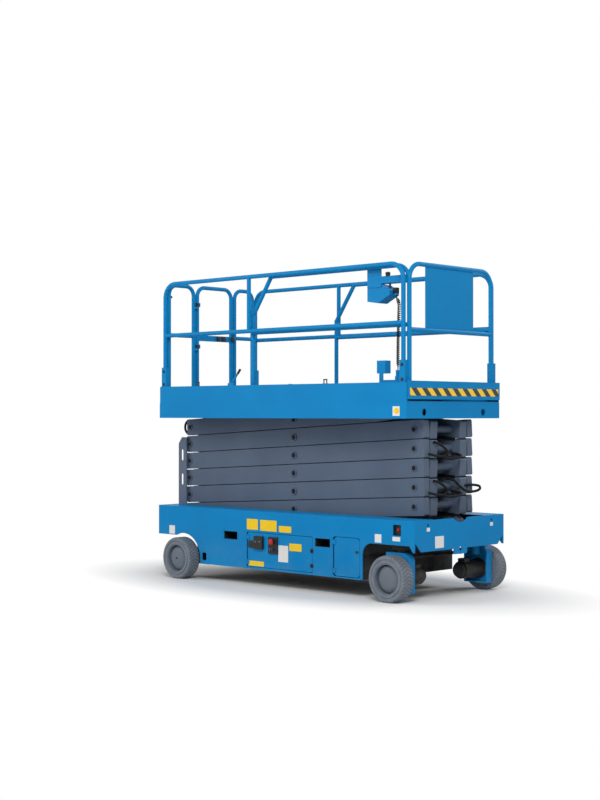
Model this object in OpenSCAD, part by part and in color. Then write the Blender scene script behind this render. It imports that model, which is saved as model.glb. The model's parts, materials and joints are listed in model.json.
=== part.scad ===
// Self-propelled scissor lift, stowed, standing on its wheels.
// +X points to the steered end, +Z up; the origin is on the ground under the middle of the chassis.

/* [Chassis] */
// Length of the chassis
chassis_l = 3100; // [3000:10:3300]
// Width over the side panels
body_w = 1212; // [1180:2:1240]
// Height of the chassis top
body_top_z = 663; // [655:1:690]
// Lower edge of the side panels between the wheels
belly_z = 150; // [130:1:165]
// Sheet thickness of panels and covers
panel_t = 8; // [6:1:10]
// Plate thickness of the trough walls
wall_t = 12; // [8:1:16]
// Inner width of the trough
trough_w = 690; // [680:2:700]
// Floor of the trough that holds the scissor stack
trough_floor_z = 490; // [484:1:496]
// Lower edge of the rear overhang
rear_edge_z = 393; // [385:1:400]
// Lower edge of the front cover
front_edge_z = 410; // [406:1:416]
// Top of the front wheel arches
arch_top_z = 460; // [450:1:470]
// From the front wheels back to the rear end of their arches
arch_back = 332; // [325:1:345]
// Radius of the rear wheel arches
rear_arch_r = 225; // [215:1:235]
// From the front wheels to the front end of the chassis
front_overhang = 220; // [210:1:230]
// From the rear wheels to the rear end of the chassis
rear_overhang = 350; // [340:1:360]

/* [Fork pockets] */
// From the rear end of the belly box to the middle of the rear pocket
pocket_rear_inset = 413; // [405:1:420]
// From the front arch back to the middle of the front pocket
pocket_front_inset = 448; // [440:1:455]
// Clear width of a pocket
pocket_w = 174; // [165:1:180]
// Clear height of a pocket
pocket_h = 71; // [60:1:72]
// Bottom of the pockets
pocket_z = 396; // [390:1:400]

/* [Doors] */
// From the rear pocket to the hinge line of a tray door
tray_rear_gap = 124; // [110:1:140]
// From a tray door to the front pocket
tray_front_gap = 32; // [28:1:40]
// Lower edge of a tray door
tray_door_z = 172; // [168:1:180]
// Height of a tray door
tray_door_h = 300; // [280:1:305]
// From the front pocket to the hinge line of an access door
access_gap = 35; // [30:1:40]
// Width of an access door
access_door_w = 283; // [270:1:286]
// Lower edge of an access door
access_door_z = 166; // [163:1:175]
// Height of an access door
access_door_h = 324; // [310:1:330]
// Thickness of a door
door_t = 6; // [5:1:8]
// Gap round a door
door_gap = 4; // [3:0.5:6]

/* [Running gear] */
// Outer diameter of a tyre
tyre_d = 381; // [370:1:390]
// Width of a tyre
tyre_w = 127; // [115:1:135]
// From the side panels out to the middle planes of the wheels
wheel_out = 30.5; // [28:0.5:33]
// Diameter of the rim seat
rim_d = 262; // [240:1:270]
// Diameter of the wheel spindles
spindle_d = 60; // [50:1:70]
// From the side panels in to the kingpins
kingpin_in = 96; // [94:1:100]
// Diameter of the kingpins
kingpin_d = 50; // [40:1:56]
// Length of the steering arms
steer_arm_l = 170; // [160:1:180]
// Diameter of the tie rod
tie_rod_d = 30; // [24:1:34]

/* [Scissor] */
// Height of an arm
arm_h = 152; // [140:1:160]
// Gap between stacked arms when stowed
arm_gap = 7.23; // [6:0.01:10]
// Wall of the arm tubes
arm_wall = 8; // [6:1:10]
// Thickness of an outer arm
outer_t = 66; // [60:1:66]
// Thickness of an inner arm
inner_t = 93; // [80:1:94]
// Gap between the trough and the outer arms
stack_gap = 20; // [18:1:24]
// Gap between the outer and inner arms
lane_gap = 14; // [13:1:18]
// From the rear end of the chassis to the rear column of pins
rear_pin_inset = 130; // [125:0.5:135]
// From the front end of the chassis to the front column of pins
front_pin_inset = 229.5; // [225:0.5:240]
// Height of the lowest pins above the trough floor
base_pin_h = 107; // [104:1:112]
// Length of an arm in front of its front pin
front_over = 105; // [80:1:112]
// Length of an arm behind its rear pin
rear_over = 46; // [40:1:50]
// Diameter of the end pins
end_pin_d = 40; // [36:1:44]
// Diameter of the middle pins
mid_pin_d = 50; // [44:1:56]
// Diameter of the cross tubes
cross_d = 60; // [56:1:64]
// Diameter of the slide rollers
roller_d = 90; // [80:1:92]
// Rounding of the arm ends that lie under the deck
top_end_r = 46; // [40:1:48]
// Largest lift angle, measured from the stowed pose
lift_deg = 48.6; // [40:0.1:49]

/* [Lift cylinders] */
// Outer diameter of a barrel
barrel_d = 110; // [90:1:120]
// Diameter of a rod
rod_d = 60; // [50:1:70]
// Diameter of the cross tube that the rod pushes
push_tube_d = 50; // [40:1:56]

/* [Platform] */
// From the rear end of the chassis to the rear end of the platform
deck_rear_inset = 40; // [30:1:45]
// From the front end of the chassis to the front end of the platform
deck_front_inset = 50; // [40:1:60]
// From the side panels out to the platform skirts
deck_out = 26; // [22:1:32]
// Gap between the highest arms and the deck
deck_gap = 5.24; // [4:0.01:12]
// Thickness of the main deck
deck_t = 16; // [12:1:20]
// Thickness of the skirt plates
skirt_t = 10; // [8:1:12]
// Depth of the skirts below the main deck
skirt_drop = 144; // [138:1:148]
// Height of the toe boards above the main deck
toe_h = 150; // [130:1:160]
// Height of the guard rails above the main deck
rail_h = 1132; // [1100:1:1160]
// Height of the mid rails above the main deck
mid_rail_h = 630; // [610:1:650]
// Diameter of the rail tubes
rail_d = 38; // [34:1:40]
// Bend of the rail tubes at the top corners
rail_bend_r = 130; // [110:1:140]

/* [Roll-out deck] */
// From the rear end of the main deck to the rear end of the roll-out deck
roll_rear_inset = 1100; // [1060:5:1110]
// Height of its deck plate above the main deck
roll_lift = 12; // [10:1:14]
// Thickness of its deck plate
roll_t = 16; // [12:1:20]
// Height of its front toe board above the main deck
roll_toe_h = 162; // [155:1:170]
// Height of its front bar above the main deck
roll_mid_h = 577; // [565:1:590]
// Height of its side mid tubes above the main deck
roll_side_mid_h = 617; // [605:1:625]
// Height of the knees of its rear posts above the main deck
roll_knee_h = 770; // [740:1:800]
// Depth of its upper side tubes below the top of the guard rails
roll_side_drop = 30; // [28:1:34]

/* [Hidden] */
$fn = 96;

blue = [0.08, 0.42, 0.66];
dark = [0.12, 0.13, 0.15];
steel_blue = [0.33, 0.39, 0.47];
wheel_grey = [0.45, 0.48, 0.52];
pale = [0.62, 0.65, 0.69];

// Clearances
run_fit = 0.05;
seat = 0.3;
cut = 1;

// Chassis
half_l = chassis_l / 2;
half_w = body_w / 2;
panel_in_y = half_w - panel_t;
trough_half_w = trough_w / 2;
wall_out_y = trough_half_w + wall_t;
floor_t = 12;
floor_low_z = trough_floor_z - floor_t;
cover_in_x = half_l - panel_t;
cover_top_z = body_top_z - panel_t;
belly_top_z = belly_z + panel_t;
front_wheel_x = half_l - front_overhang;
rear_wheel_x = -half_l + rear_overhang;
arch_x = front_wheel_x - arch_back;
arch_fillet_r = 100;
arch_lap = 10;
box_rear_x = rear_wheel_x + rear_arch_r - arch_lap;
flap_run = 54;
flap_tip = 18;
corner_cut_y = 79;
corner_cut_z = 78;
scoop_r = 140;
scoop_over = 103;
tow_tab_w = 176;
tow_tab_h = 80;
tow_tab_r = 14;
tow_tab_drop = 46;
tow_hole_d = 36;
tow_hole_drop = 4;
tie_down_in = 176;
tie_down_d = 24;
tie_down_drop = 41;
rear_tie_d = 36;
rear_tie_rise = 40;

// Openings in the side panels
pocket_x = [box_rear_x + pocket_rear_inset, arch_x - pocket_front_inset];
slot_w = 84;
slot_h = 88;
slot_r = 8;
slot_x = front_wheel_x - slot_r / 2;
slot_drop = 125;
step_hole_w = 60;
step_hole_h = 73;
step_hole_r = 20;
step_hole_in = 35;
step_hole_rise = 31;

// Ladder at the rear end
ladder_depth = 110;
ladder_h = 637;
ladder_chamfer_x = 45;
ladder_chamfer_z = 60;
rung_d = 30;
rung_in = 20;
rung_first = 117;
rung_pitch = 230;
rungs = 3;
grip_w = 34;
grip_h = 110;
grip_x = 32;
grip_rise = 65;
grip_r = 16;

// Doors
door_set_back = 12;
door_edge = 2;
hinge_out = 6;
hinge_y = half_w + hinge_out;
hinge_h = 40;
hinge_leaf = 20;
hinge_share = 0.13;
tray_r = 12;
access_r = 30;
access_hole_r = 24;
tray_hinge_x = pocket_x[0] + pocket_w / 2 + tray_rear_gap;
tray_door_w = pocket_x[1] - pocket_w / 2 - tray_front_gap - door_set_back - tray_hinge_x;
access_hinge_x = pocket_x[1] + pocket_w / 2 + access_gap;

// Ground controls: socket plate, switch box and key plate with two knobs on the right tray door
socket_run = 26;
socket_x = tray_hinge_x + socket_run;
socket_size = [72, 62];
socket_rise = 166;
socket_out = 10;
socket_r = 8;
switch_run = 106;
switch_x = tray_hinge_x + switch_run;
switch_size = [106, 114];
switch_rise = 158;
switch_out = 24;
key_run = 276;
key_x = tray_hinge_x + key_run;
key_size = [110, 146];
key_rise = 128;
key_out = 12;
knob_rise = [233, 168];
knob_d = [34, 26];
knob_out = [34, 26];

// Batteries
battery_inset = 30;
battery_wall_gap = 8;
battery_door_gap = 28;
battery_h = 272;

// Running gear
wheel_z = tyre_d / 2;
wheel_y = half_w + wheel_out;
tyre_in_y = wheel_y - tyre_w / 2;
spindle_in = 30;
kingpin_y = half_w - kingpin_in;
kingpin_low_z = 300;
axle_low_z = 420;
axle_half = 55;
axle_over = 45;
stub_half = 60;
stub_gap = 14;
lobe_low = 80;
lobe_run = 100;
lobe_foot = 75;
yoke_gap = 11;
yoke_out_y = tyre_in_y - yoke_gap;
yoke_w = 75;
yoke_top_z = 395;
yoke_low_z = 70;
yoke_web_t = 15;
yoke_rim_t = 12;
yoke_fore = 128;
yoke_aft = 115;
yoke_corner_r = 70;
yoke_boss_d = 84;
yoke_boss_z = 310;
steer_pin_d = 20;
steer_arm_z = 340;
steer_arm_t = 15;
steer_arm_w = 40;
steer_pin_drop = 4;
tie_x = front_wheel_x - steer_arm_l;
tie_z = 320;
tie_eye_h = 30;
tie_eye_d = 46;
motor_d = 150;
motor_l = 232;
motor_tail = 23;
motor_end_y = kingpin_y - motor_l - motor_tail;
motor_flange_d = 170;
motor_flange_t = 16;
motor_cap_l = 30;
motor_cap_d = 120;
motor_box = [70, 70, 34];
motor_box_in = 40;
motor_box_sink = 12;

// Wheels
shoulder_r = 16;
groove_r = 7;
groove_out = 24;
rim_wall = 12;
rim_lip = 4;
rim_gap = 0.1;
disc_low = 10;
disc_t = 22;
hub_d = 120;
hub_low = 40;
hub_l = 85;
rim_holes = 6;
rim_hole_d = 30;
rim_hole_r = 88;

// Scissor
rear_pin_x = -half_l + rear_pin_inset;
front_pin_x = half_l - front_pin_inset;
arm_run = front_pin_x - rear_pin_x;
arm_pitch = arm_h + arm_gap;
level_rise = arm_pitch * arm_run / sqrt(arm_run * arm_run - arm_pitch * arm_pitch);
arm_l = norm([arm_run, level_rise]);
stow_deg = atan2(level_rise, arm_run);
outer_face_y = trough_half_w - stack_gap;
outer_in_y = outer_face_y - outer_t;
inner_face_y = outer_in_y - lane_gap;
inner_in_y = inner_face_y - inner_t;
base_pin_z = trough_floor_z + base_pin_h;
arm_end_r = arm_h / 2;
arm_taper = 400;
arm_corner_r = 14;
arm_boss = 70;
pin_gap = 1;
pin_cap_t = 8;
pin_cap_rim = 8;
collar_rim = 10;
levels = 6;
top_pin_z = base_pin_z + levels * level_rise;
raised_deg = stow_deg + lift_deg;
slide_x = rear_pin_x + arm_l * cos(raised_deg);
track_rear_x = slide_x - roller_d;
track_front_x = front_pin_x + roller_d;
track_lap = 4;
roller_w = 40;
roller_gap = 8;
roller_y = outer_face_y + roller_gap;
track_bar_t = 10;
track_web_y = roller_y + roller_w + track_lap;

// Lift cylinder: base at the middle of an inner arm, push tube near the foot of the next
push_share = 0.05;
ram_run = arm_run * (0.5 - push_share);
ram_rise = level_rise * (0.5 + push_share);
ram_l = norm([ram_run, ram_rise]);
ram_deg = atan2(ram_rise, ram_run);
ram_eye_w = 80;
ram_eye_d = 124;
ram_head_d = 80;
ram_head_l = 50;
ram_collar_l = 70;
ram_collar_rim = 7;
rod_show = 60;
rod_foot = 130;
rod_slack = 10;
ram_gap = 32;
ram_mouth = ram_l - push_tube_d / 2 - ram_gap - ram_head_l - rod_show;

// Platform
deck_rear_x = -half_l + deck_rear_inset;
deck_front_x = half_l - deck_front_inset;
deck_half_w = half_w + deck_out;
deck_low_z = top_pin_z + arm_h / 2 - arm_taper * sin(stow_deg) + deck_gap;
deck_z = deck_low_z + deck_t;
skirt_z = deck_z - skirt_drop;
toe_z = deck_z + toe_h;
skirt_in_y = deck_half_w - skirt_t;
skirt_step = 4;
skirt_fold_z = deck_z - 2 * skirt_step;
beam_setback = 12;
beam_front_x = deck_front_x - beam_setback;
beam_hole_in = 232;
beam_hole_d = 60;
beam_hole_drop = 92;
bracket_t = 20;
bracket_gap = 17;
bracket_half = 60;
bracket_drop = 48;
bracket_y = inner_face_y + bracket_gap;

// Guard rails
rail_r = rail_d / 2;
rail_gap = 1;
rail_y = skirt_in_y - skirt_step - rail_r - rail_gap;
rail_top_z = deck_z + rail_h;
rail_z = rail_top_z - rail_r;
mid_rail_z = deck_z + mid_rail_h;
rail_rear_inset = 40;
rail_front_inset = 70;
rail_rear_x = deck_rear_x + rail_rear_inset;
rail_front_x = deck_front_x - rail_front_inset;
foot_w = 58;
foot_h = 330;
foot_in = 3;
hanger_inset = 1124;
hanger_x = rail_rear_x + hanger_inset;
rear_bend_r = 90;
rear_mid_rise = 10;
rear_mid_z = mid_rail_z + rear_mid_rise;
rear_post_gap = 8;
gate_gap = 48;
gate_near = 240;
gate_far = 257;
near_post_y = [-rail_y + rail_d + rear_post_gap, -gate_near];
gate_post_y = [near_post_y[1] + gate_gap, gate_far];
far_post_y = [gate_post_y[1] + gate_gap, rail_y - rail_d - rear_post_gap];
gate_low_h = 100;
gate_low_z = deck_z + gate_low_h;
gate_bar_h = [598, 652];
gate_bar_half = 15;
gate_hinge = [rail_rear_x + gate_gap / 2, near_post_y[1] + gate_gap / 2];
gate_hinge_h = 522;
gate_hinge_drop = 210;
gate_hinge_z = [deck_z + gate_hinge_h, rail_top_z - gate_hinge_drop];
gate_pin_d = 16;
knuckle_d = 26;
knuckle_h = 20;
gate_knuckle_h = 38;
leaf_gap = 8;
leaf_over = 12;

// Roll-out deck and its rails
roll_rear_x = deck_rear_x + roll_rear_inset;
roll_low_z = deck_z + roll_lift;
roll_z = roll_low_z + roll_t;
roll_toe_z = deck_z + roll_toe_h;
roll_mid_z = deck_z + roll_mid_h;
roll_side_mid_z = deck_z + roll_side_mid_h;
roll_knee_z = deck_z + roll_knee_h;
roll_side_z = rail_top_z - roll_side_drop;
roll_gap = 7;
roll_y = rail_y - rail_d - roll_gap;
roll_half_w = roll_y + rail_r - skirt_step;
roll_post_inset = 75;
roll_post_x = roll_rear_x + roll_post_inset;
roll_front_inset = 45;
roll_front_x = deck_front_x - roll_front_inset;
roll_lap = 4;
bend_step = 2;
pad_l = 120;
pad_w = 60;
pad_pitch = 605;
pads = 3;
panel_in = [207, 253];
panel_y = [-roll_y + panel_in[0], roll_y - panel_in[1]];
sheet_half = 3;
brace_run = 225;
brace_x = roll_post_x + brace_run;
joint_rim = 4;

// Control box, hung on the right upper tube of the roll-out rails; x from its rear end, z from its floor
box_back = 470;
box_x = roll_front_x - box_back;
box_drop = 294;
box_z = roll_side_z - box_drop;
box_y = -roll_y + rail_r + seat;
box_w = 120;
box_l = 240;
box_h = 150;
chin_l = 105;
chin_h = 16;
nose_l = 125;
nose_h = 62;
nose_top = 100;
top_l = 155;
plate_t = 8;
plate_drop = 165;
plate_rise = 24;
plate_in = 5;
hook_in = 10;
hook_lap = 10;
arm_bar_drop = [77, 134];
stop_run = 225;
stop_d = 36;
stop_h = 24;
stick_run = 195;
stick_x = box_x + stick_run;
stick_d = 24;
stick_h = 40;
stick_foot = 95;
gland_block = [35, 40, 45];
gland_d = 34;
gland_h = 30;
gland_out = 18;
gland_rise = 62;

// Socket box on a leg from the roll-out deck, with the connector of the control cord in front of it
leg_back = 340;
leg_x = roll_front_x - leg_back;
leg_in = 24;
leg_t = 8;
leg_w = 40;
leg_h = 209;
socket_box_over = 25;
socket_box_w = 70;
socket_box_z = [199, 305];
flange_l = 175;
flange_h = 144;
plug_run = 185;
plug_x = leg_x + plug_run;
plug_in = 43;
plug_y = -roll_y + plug_in;
plug_d = 36;
plug_z = [144, 224];
shelf_half = 22;
shelf_z = [134, 174];
shelf_w = 39;

// The control cord hangs from the gland of the control box to the connector; shares of the way in X, Y and Z
cord_d = 30;
cord_sides = 10;
gland_at = [box_x + box_l + gland_out, box_y + plate_t + box_w / 2, box_z + gland_rise - seat];
plug_at = [plug_x, plug_y, roll_z + plug_z[1] + seat];
cord_path = [[0, 0, 0], [0, 0, 0.02], [0.35, 0.05, 0.06], [0.73, 0.25, 0.12], [0.9, 0.5, 0.2],
             [0.97, 0.7, 0.3], [1, 0.83, 0.42], [1, 0.92, 0.55], [1, 0.97, 0.7], [1, 1, 0.85], [1, 1, 1]];
cord_route = [for (s = cord_path) [for (i = [0 : 2]) gland_at[i] + s[i] * (plug_at[i] - gland_at[i])]];

// Draws its children and their mirror image on the left side
module both_sides() {
    children();
    mirror([0, 1, 0]) children();
}

// Draws its children, or their mirror image for the left side
module on_side(left) {
    mirror([0, left ? 1 : 0, 0]) children();
}

// A box between two corners
module block(low, high) {
    translate(low) cube(high - low);
}

// A cylinder along Y between y0 and y1
module y_bar(x, z, y0, y1, d) {
    translate([x, y0, z]) rotate([-90, 0, 0]) cylinder(h = y1 - y0, d = d);
}

// A plate of an outline in X and Z, between y0 and y1
module xz_plate(y0, y1) {
    translate([0, y1, 0]) rotate([90, 0, 0]) linear_extrude(y1 - y0) children();
}

// A plate of an outline in Y and Z, between x0 and x1
module yz_plate(x0, x1) {
    translate([x0, 0, 0]) rotate([90, 0, 90]) linear_extrude(x1 - x0) children();
}

// A rectangle with round corners, from its low corner
module soft_square(size, r) {
    translate([r, 0]) square([size.x - 2 * r, size.y]);
    translate([0, r]) square([size.x, size.y - 2 * r]);
    for (x = [r, size.x - r], y = [r, size.y - r]) translate([x, y]) circle(r);
}

// A tube between two points
module strut(p, q, d) {
    v = q - p;
    translate(p) rotate([0, acos(v.z / norm(v)), atan2(v.y, v.x)]) cylinder(h = norm(v), d = d);
}

// A bent tube in X and Z: two posts from z0 and a top tube, with round corners
module hoop(x0, x1, z0, z1, bend_r, d) {
    for (x = [x0, x1]) translate([x, 0, z0]) cylinder(h = z1 - bend_r - z0, d = d);
    strut([x0 + bend_r, 0, z1], [x1 - bend_r, 0, z1], d);
    translate([x1 - bend_r, 0, z1 - bend_r]) rotate([90, 0, 0])
        rotate_extrude(angle = 90) translate([bend_r, 0]) circle(d = d);
    translate([x0 + bend_r, 0, z1 - bend_r]) rotate([90, 0, 0]) rotate([0, 0, 90])
        rotate_extrude(angle = 90) translate([bend_r, 0]) circle(d = d);
}

// The same, across the platform in Y and Z
module cross_hoop(x, y0, y1, z0, z1, bend_r, d) {
    translate([x, 0, 0]) rotate([0, 0, 90]) hoop(y0, y1, z0, z1, bend_r, d);
}

// Chassis

// Trough with its walls, roller tracks and the stubs of the lowest rear pins
module trough() color(dark) {
    both_sides() {
        block([-cover_in_x, trough_half_w, floor_low_z], [cover_in_x, wall_out_y, body_top_z]);
        block([track_rear_x, outer_in_y - track_lap, trough_floor_z - cut],
              [track_front_x, trough_half_w + cut, base_pin_z - roller_d / 2 - seat]);
        y_bar(rear_pin_x, base_pin_z, outer_in_y - cut, trough_half_w + cut, end_pin_d);
    }
    block([-cover_in_x, -trough_half_w - cut, floor_low_z],
          [cover_in_x, trough_half_w + cut, trough_floor_z]);
}

module top_plates() color(blue) both_sides()
    block([-half_l, wall_out_y, cover_top_z], [half_l, half_w, body_top_z]);

// Belly plate, its end walls and the webs below the fork pockets
module belly_box() color(dark) {
    web_top_z = pocket_z - panel_t;
    block([box_rear_x, -panel_in_y, belly_z], [arch_x, panel_in_y, belly_top_z]);
    for (x = [box_rear_x, arch_x - panel_t])
        block([x, -panel_in_y, belly_z], [x + panel_t, panel_in_y, floor_low_z]);
    both_sides() block([box_rear_x + cut, trough_half_w, belly_z + cut],
                       [arch_x - cut, wall_out_y, web_top_z]);
}

// Clear section of the fork pockets, grown by a margin
module pocket_outline(margin) {
    for (x = pocket_x)
        translate([x - pocket_w / 2 - margin, pocket_z - margin])
            square([pocket_w + 2 * margin, pocket_h + 2 * margin]);
}

module fork_pockets() color(dark) xz_plate(-panel_in_y, panel_in_y) difference() {
    pocket_outline(panel_t);
    pocket_outline(0);
}

module side_panel_outline() {
    difference() {
        union() {
            translate([-half_l, rear_edge_z]) square([half_l + rear_wheel_x, cover_top_z - rear_edge_z]);
            translate([rear_wheel_x, belly_z]) square([arch_x - rear_wheel_x, cover_top_z - belly_z]);
            translate([arch_x, arch_top_z]) square([half_l - arch_x, cover_top_z - arch_top_z]);
            polygon([[half_l - flap_run, arch_top_z + cut], [half_l - flap_tip, front_edge_z],
                     [half_l, front_edge_z], [half_l, arch_top_z + cut]]);
            difference() {
                translate([arch_x, arch_top_z - arch_fillet_r]) square(arch_fillet_r + cut);
                translate([arch_x + arch_fillet_r, arch_top_z - arch_fillet_r]) circle(arch_fillet_r);
            }
        }
        translate([rear_wheel_x, wheel_z]) circle(rear_arch_r);
        pocket_outline(0);
        translate([tray_hinge_x - door_edge, tray_door_z - door_gap])
            square([tray_door_w + door_set_back + door_gap + door_edge, tray_door_h + 2 * door_gap]);
        translate([access_hinge_x - door_edge, access_door_z - door_gap])
            soft_square([access_door_w + door_set_back + door_gap + door_edge, access_door_h + 2 * door_gap],
                        access_hole_r);
        translate([slot_x, body_top_z - slot_drop]) soft_square([slot_w, slot_h], slot_r);
        translate([box_rear_x + step_hole_in, belly_z + step_hole_rise])
            soft_square([step_hole_w, step_hole_h], step_hole_r);
    }
}

module side_panel(left) on_side(left) color(blue)
    xz_plate(-half_w, -panel_in_y) side_panel_outline();

module side_panel_right() side_panel(false);
module side_panel_left() side_panel(true);

module front_cover() color(blue) yz_plate(cover_in_x, half_l) difference() {
    union() {
        polygon([[-panel_in_y, front_edge_z + corner_cut_z], [-panel_in_y + corner_cut_y, front_edge_z],
                 [panel_in_y - corner_cut_y, front_edge_z], [panel_in_y, front_edge_z + corner_cut_z],
                 [panel_in_y, cover_top_z], [-panel_in_y, cover_top_z]]);
        translate([-wall_out_y, cover_top_z - cut]) square([2 * wall_out_y, panel_t + cut]);
        translate([-tow_tab_w / 2, front_edge_z - tow_tab_drop])
            soft_square([tow_tab_w, tow_tab_h], tow_tab_r);
    }
    translate([0, body_top_z + scoop_over]) circle(scoop_r);
    for (y = [-half_w + tie_down_in, half_w - tie_down_in])
        translate([y, body_top_z - tie_down_drop]) circle(d = tie_down_d);
    translate([0, front_edge_z - tow_hole_drop]) circle(d = tow_hole_d);
}

module rear_cover() color(blue) yz_plate(-half_l, -cover_in_x) difference() {
    union() {
        translate([-panel_in_y, rear_edge_z]) square([2 * panel_in_y, cover_top_z - rear_edge_z]);
        translate([-wall_out_y, cover_top_z - cut]) square([2 * wall_out_y, panel_t + cut]);
    }
    for (y = [-half_w + tie_down_in, half_w - tie_down_in])
        translate([y, rear_edge_z + rear_tie_rise]) circle(d = rear_tie_d);
}

module ladder() color(pale) {
    rung_z = [for (i = [0 : rungs - 1]) body_top_z + rung_first + i * rung_pitch];
    both_sides() xz_plate(trough_half_w, wall_out_y) translate([-half_l, body_top_z]) difference() {
        polygon([[0, 0], [ladder_depth, 0], [ladder_depth, ladder_h], [ladder_chamfer_x, ladder_h],
                 [0, ladder_h - ladder_chamfer_z]]);
        for (i = [0 : rungs - 2])
            translate([grip_x, rung_first + i * rung_pitch + grip_rise])
                soft_square([grip_w, grip_h], grip_r);
    }
    for (z = rung_z) y_bar(-half_l + rung_in, z, -trough_half_w - cut, trough_half_w + cut, rung_d);
}

// A door in the right side panel, with its hinge knuckles
module side_door(hinge_x, low_z, w, h, corner_r) {
    translate([hinge_x + door_set_back, -half_w + door_t, low_z]) rotate([90, 0, 0])
        linear_extrude(door_t) soft_square([w, h], corner_r);
    for (z = [low_z + h * hinge_share, low_z + h * (1 - hinge_share)]) {
        translate([hinge_x, -hinge_y, z - hinge_h / 2]) cylinder(h = hinge_h, r = hinge_out - seat);
        block([hinge_x, -hinge_y, z - hinge_h / 2],
              [hinge_x + door_set_back + hinge_leaf, -half_w + cut, z + hinge_h / 2]);
    }
}

module tray_door(left) on_side(left) color(blue)
    side_door(tray_hinge_x, tray_door_z, tray_door_w, tray_door_h, tray_r);

module access_door(left) on_side(left) color(blue)
    side_door(access_hinge_x, access_door_z, access_door_w, access_door_h, access_r);

module tray_door_right() tray_door(false);
module tray_door_left() tray_door(true);
module access_door_right() access_door(false);
module access_door_left() access_door(true);

module ground_controls() color(dark) translate([0, -half_w, tray_door_z]) {
    block([switch_x, -switch_out, switch_rise], [switch_x + switch_size.x, 0, switch_rise + switch_size.y]);
    translate([socket_x, 0, socket_rise]) rotate([90, 0, 0])
        linear_extrude(socket_out) soft_square(socket_size, socket_r);
    block([key_x, -key_out, key_rise], [key_x + key_size.x, 0, key_rise + key_size.y]);
    for (i = [0, 1])
        y_bar(key_x + key_size.x / 2, knob_rise[i], -knob_out[i], -key_out + cut, knob_d[i]);
}

module batteries() color(dark) both_sides()
    block([tray_hinge_x + battery_inset, wall_out_y + battery_wall_gap, belly_top_z],
          [tray_hinge_x + tray_door_w - battery_inset, half_w - battery_door_gap, belly_top_z + battery_h]);

// Running gear

module front_axle() color(dark) {
    block([front_wheel_x - axle_half, -kingpin_y - axle_over, axle_low_z],
          [front_wheel_x + axle_half, kingpin_y + axle_over, floor_low_z]);
    both_sides() translate([front_wheel_x, -kingpin_y, kingpin_low_z])
        cylinder(h = axle_low_z - kingpin_low_z + cut, d = kingpin_d);
}

// Stub axles on plates that hang from the trough
module rear_axle() color(dark) both_sides() {
    xz_plate(-wall_out_y, -trough_half_w)
        polygon([[rear_wheel_x - lobe_run, floor_low_z], [rear_wheel_x - lobe_foot, wheel_z - lobe_low],
                 [rear_wheel_x + lobe_foot, wheel_z - lobe_low], [rear_wheel_x + lobe_run, floor_low_z]]);
    block([rear_wheel_x - stub_half, -tyre_in_y + stub_gap, wheel_z - stub_half],
          [rear_wheel_x + stub_half, -wall_out_y + cut, wheel_z + stub_half]);
    y_bar(rear_wheel_x, wheel_z, -wheel_y - spindle_in, -tyre_in_y + stub_gap + cut, spindle_d);
}

// Side outline of a yoke: straight rear edge, round top corner at the front
module yoke_outline(inset) {
    low = yoke_low_z + inset;
    high = yoke_top_z - inset;
    aft = front_wheel_x - yoke_aft + inset;
    fore = front_wheel_x + yoke_fore - inset;
    r = yoke_corner_r - inset;
    translate([aft, low]) square([fore - r - aft, high - low]);
    translate([aft, low]) square([fore - aft, high - r - low]);
    translate([fore - r, high - r]) circle(r);
}

module yoke(left) on_side(left) color(blue) difference() {
    pin_low_z = tie_z - tie_eye_h / 2 - steer_pin_drop;
    union() {
        difference() {
            xz_plate(-yoke_out_y, -yoke_out_y + yoke_w) yoke_outline(0);
            xz_plate(-yoke_out_y + yoke_web_t, -yoke_out_y + yoke_w + cut) yoke_outline(yoke_rim_t);
        }
        translate([front_wheel_x, -kingpin_y, yoke_boss_z])
            cylinder(h = yoke_top_z - yoke_boss_z, d = yoke_boss_d);
        block([tie_x, -kingpin_y - steer_arm_w / 2, steer_arm_z],
              [front_wheel_x, -kingpin_y + steer_arm_w / 2, steer_arm_z + steer_arm_t]);
        translate([tie_x, -kingpin_y, steer_arm_z]) cylinder(h = steer_arm_t, d = steer_arm_w);
        translate([tie_x, -kingpin_y, pin_low_z])
            cylinder(h = steer_arm_z - pin_low_z + cut, d = steer_pin_d);
        y_bar(front_wheel_x, wheel_z, -wheel_y - spindle_in, -yoke_out_y + cut, spindle_d);
    }
    translate([front_wheel_x, -kingpin_y, kingpin_low_z - cut])
        cylinder(h = yoke_top_z - kingpin_low_z + 2 * cut, d = kingpin_d + 2 * run_fit);
}

module yoke_right() yoke(false);
module yoke_left() yoke(true);

module drive_motor(left) on_side(left) color(dark) {
    foot_y = -yoke_out_y + yoke_web_t;
    box_end_y = -motor_end_y - motor_box_in;
    box_low_z = wheel_z + motor_d / 2 - motor_box_sink;
    y_bar(front_wheel_x, wheel_z, foot_y, foot_y + motor_flange_t, motor_flange_d);
    y_bar(front_wheel_x, wheel_z, foot_y, -motor_end_y - motor_cap_l, motor_d);
    y_bar(front_wheel_x, wheel_z, -motor_end_y - motor_cap_l - cut, -motor_end_y, motor_cap_d);
    block([front_wheel_x - motor_box.x / 2, box_end_y - motor_box.y, box_low_z],
          [front_wheel_x + motor_box.x / 2, box_end_y, box_low_z + motor_box.z]);
}

module drive_motor_right() drive_motor(false);
module drive_motor_left() drive_motor(true);

module tie_rod() color(dark) difference() {
    union() {
        y_bar(tie_x, tie_z, -kingpin_y, kingpin_y, tie_rod_d);
        for (y = [-kingpin_y, kingpin_y])
            translate([tie_x, y, tie_z - tie_eye_h / 2]) cylinder(h = tie_eye_h, d = tie_eye_d);
    }
    for (y = [-kingpin_y, kingpin_y])
        translate([tie_x, y, tie_z - tie_eye_h]) cylinder(h = 2 * tie_eye_h, d = steer_pin_d + 2 * run_fit);
}

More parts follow.
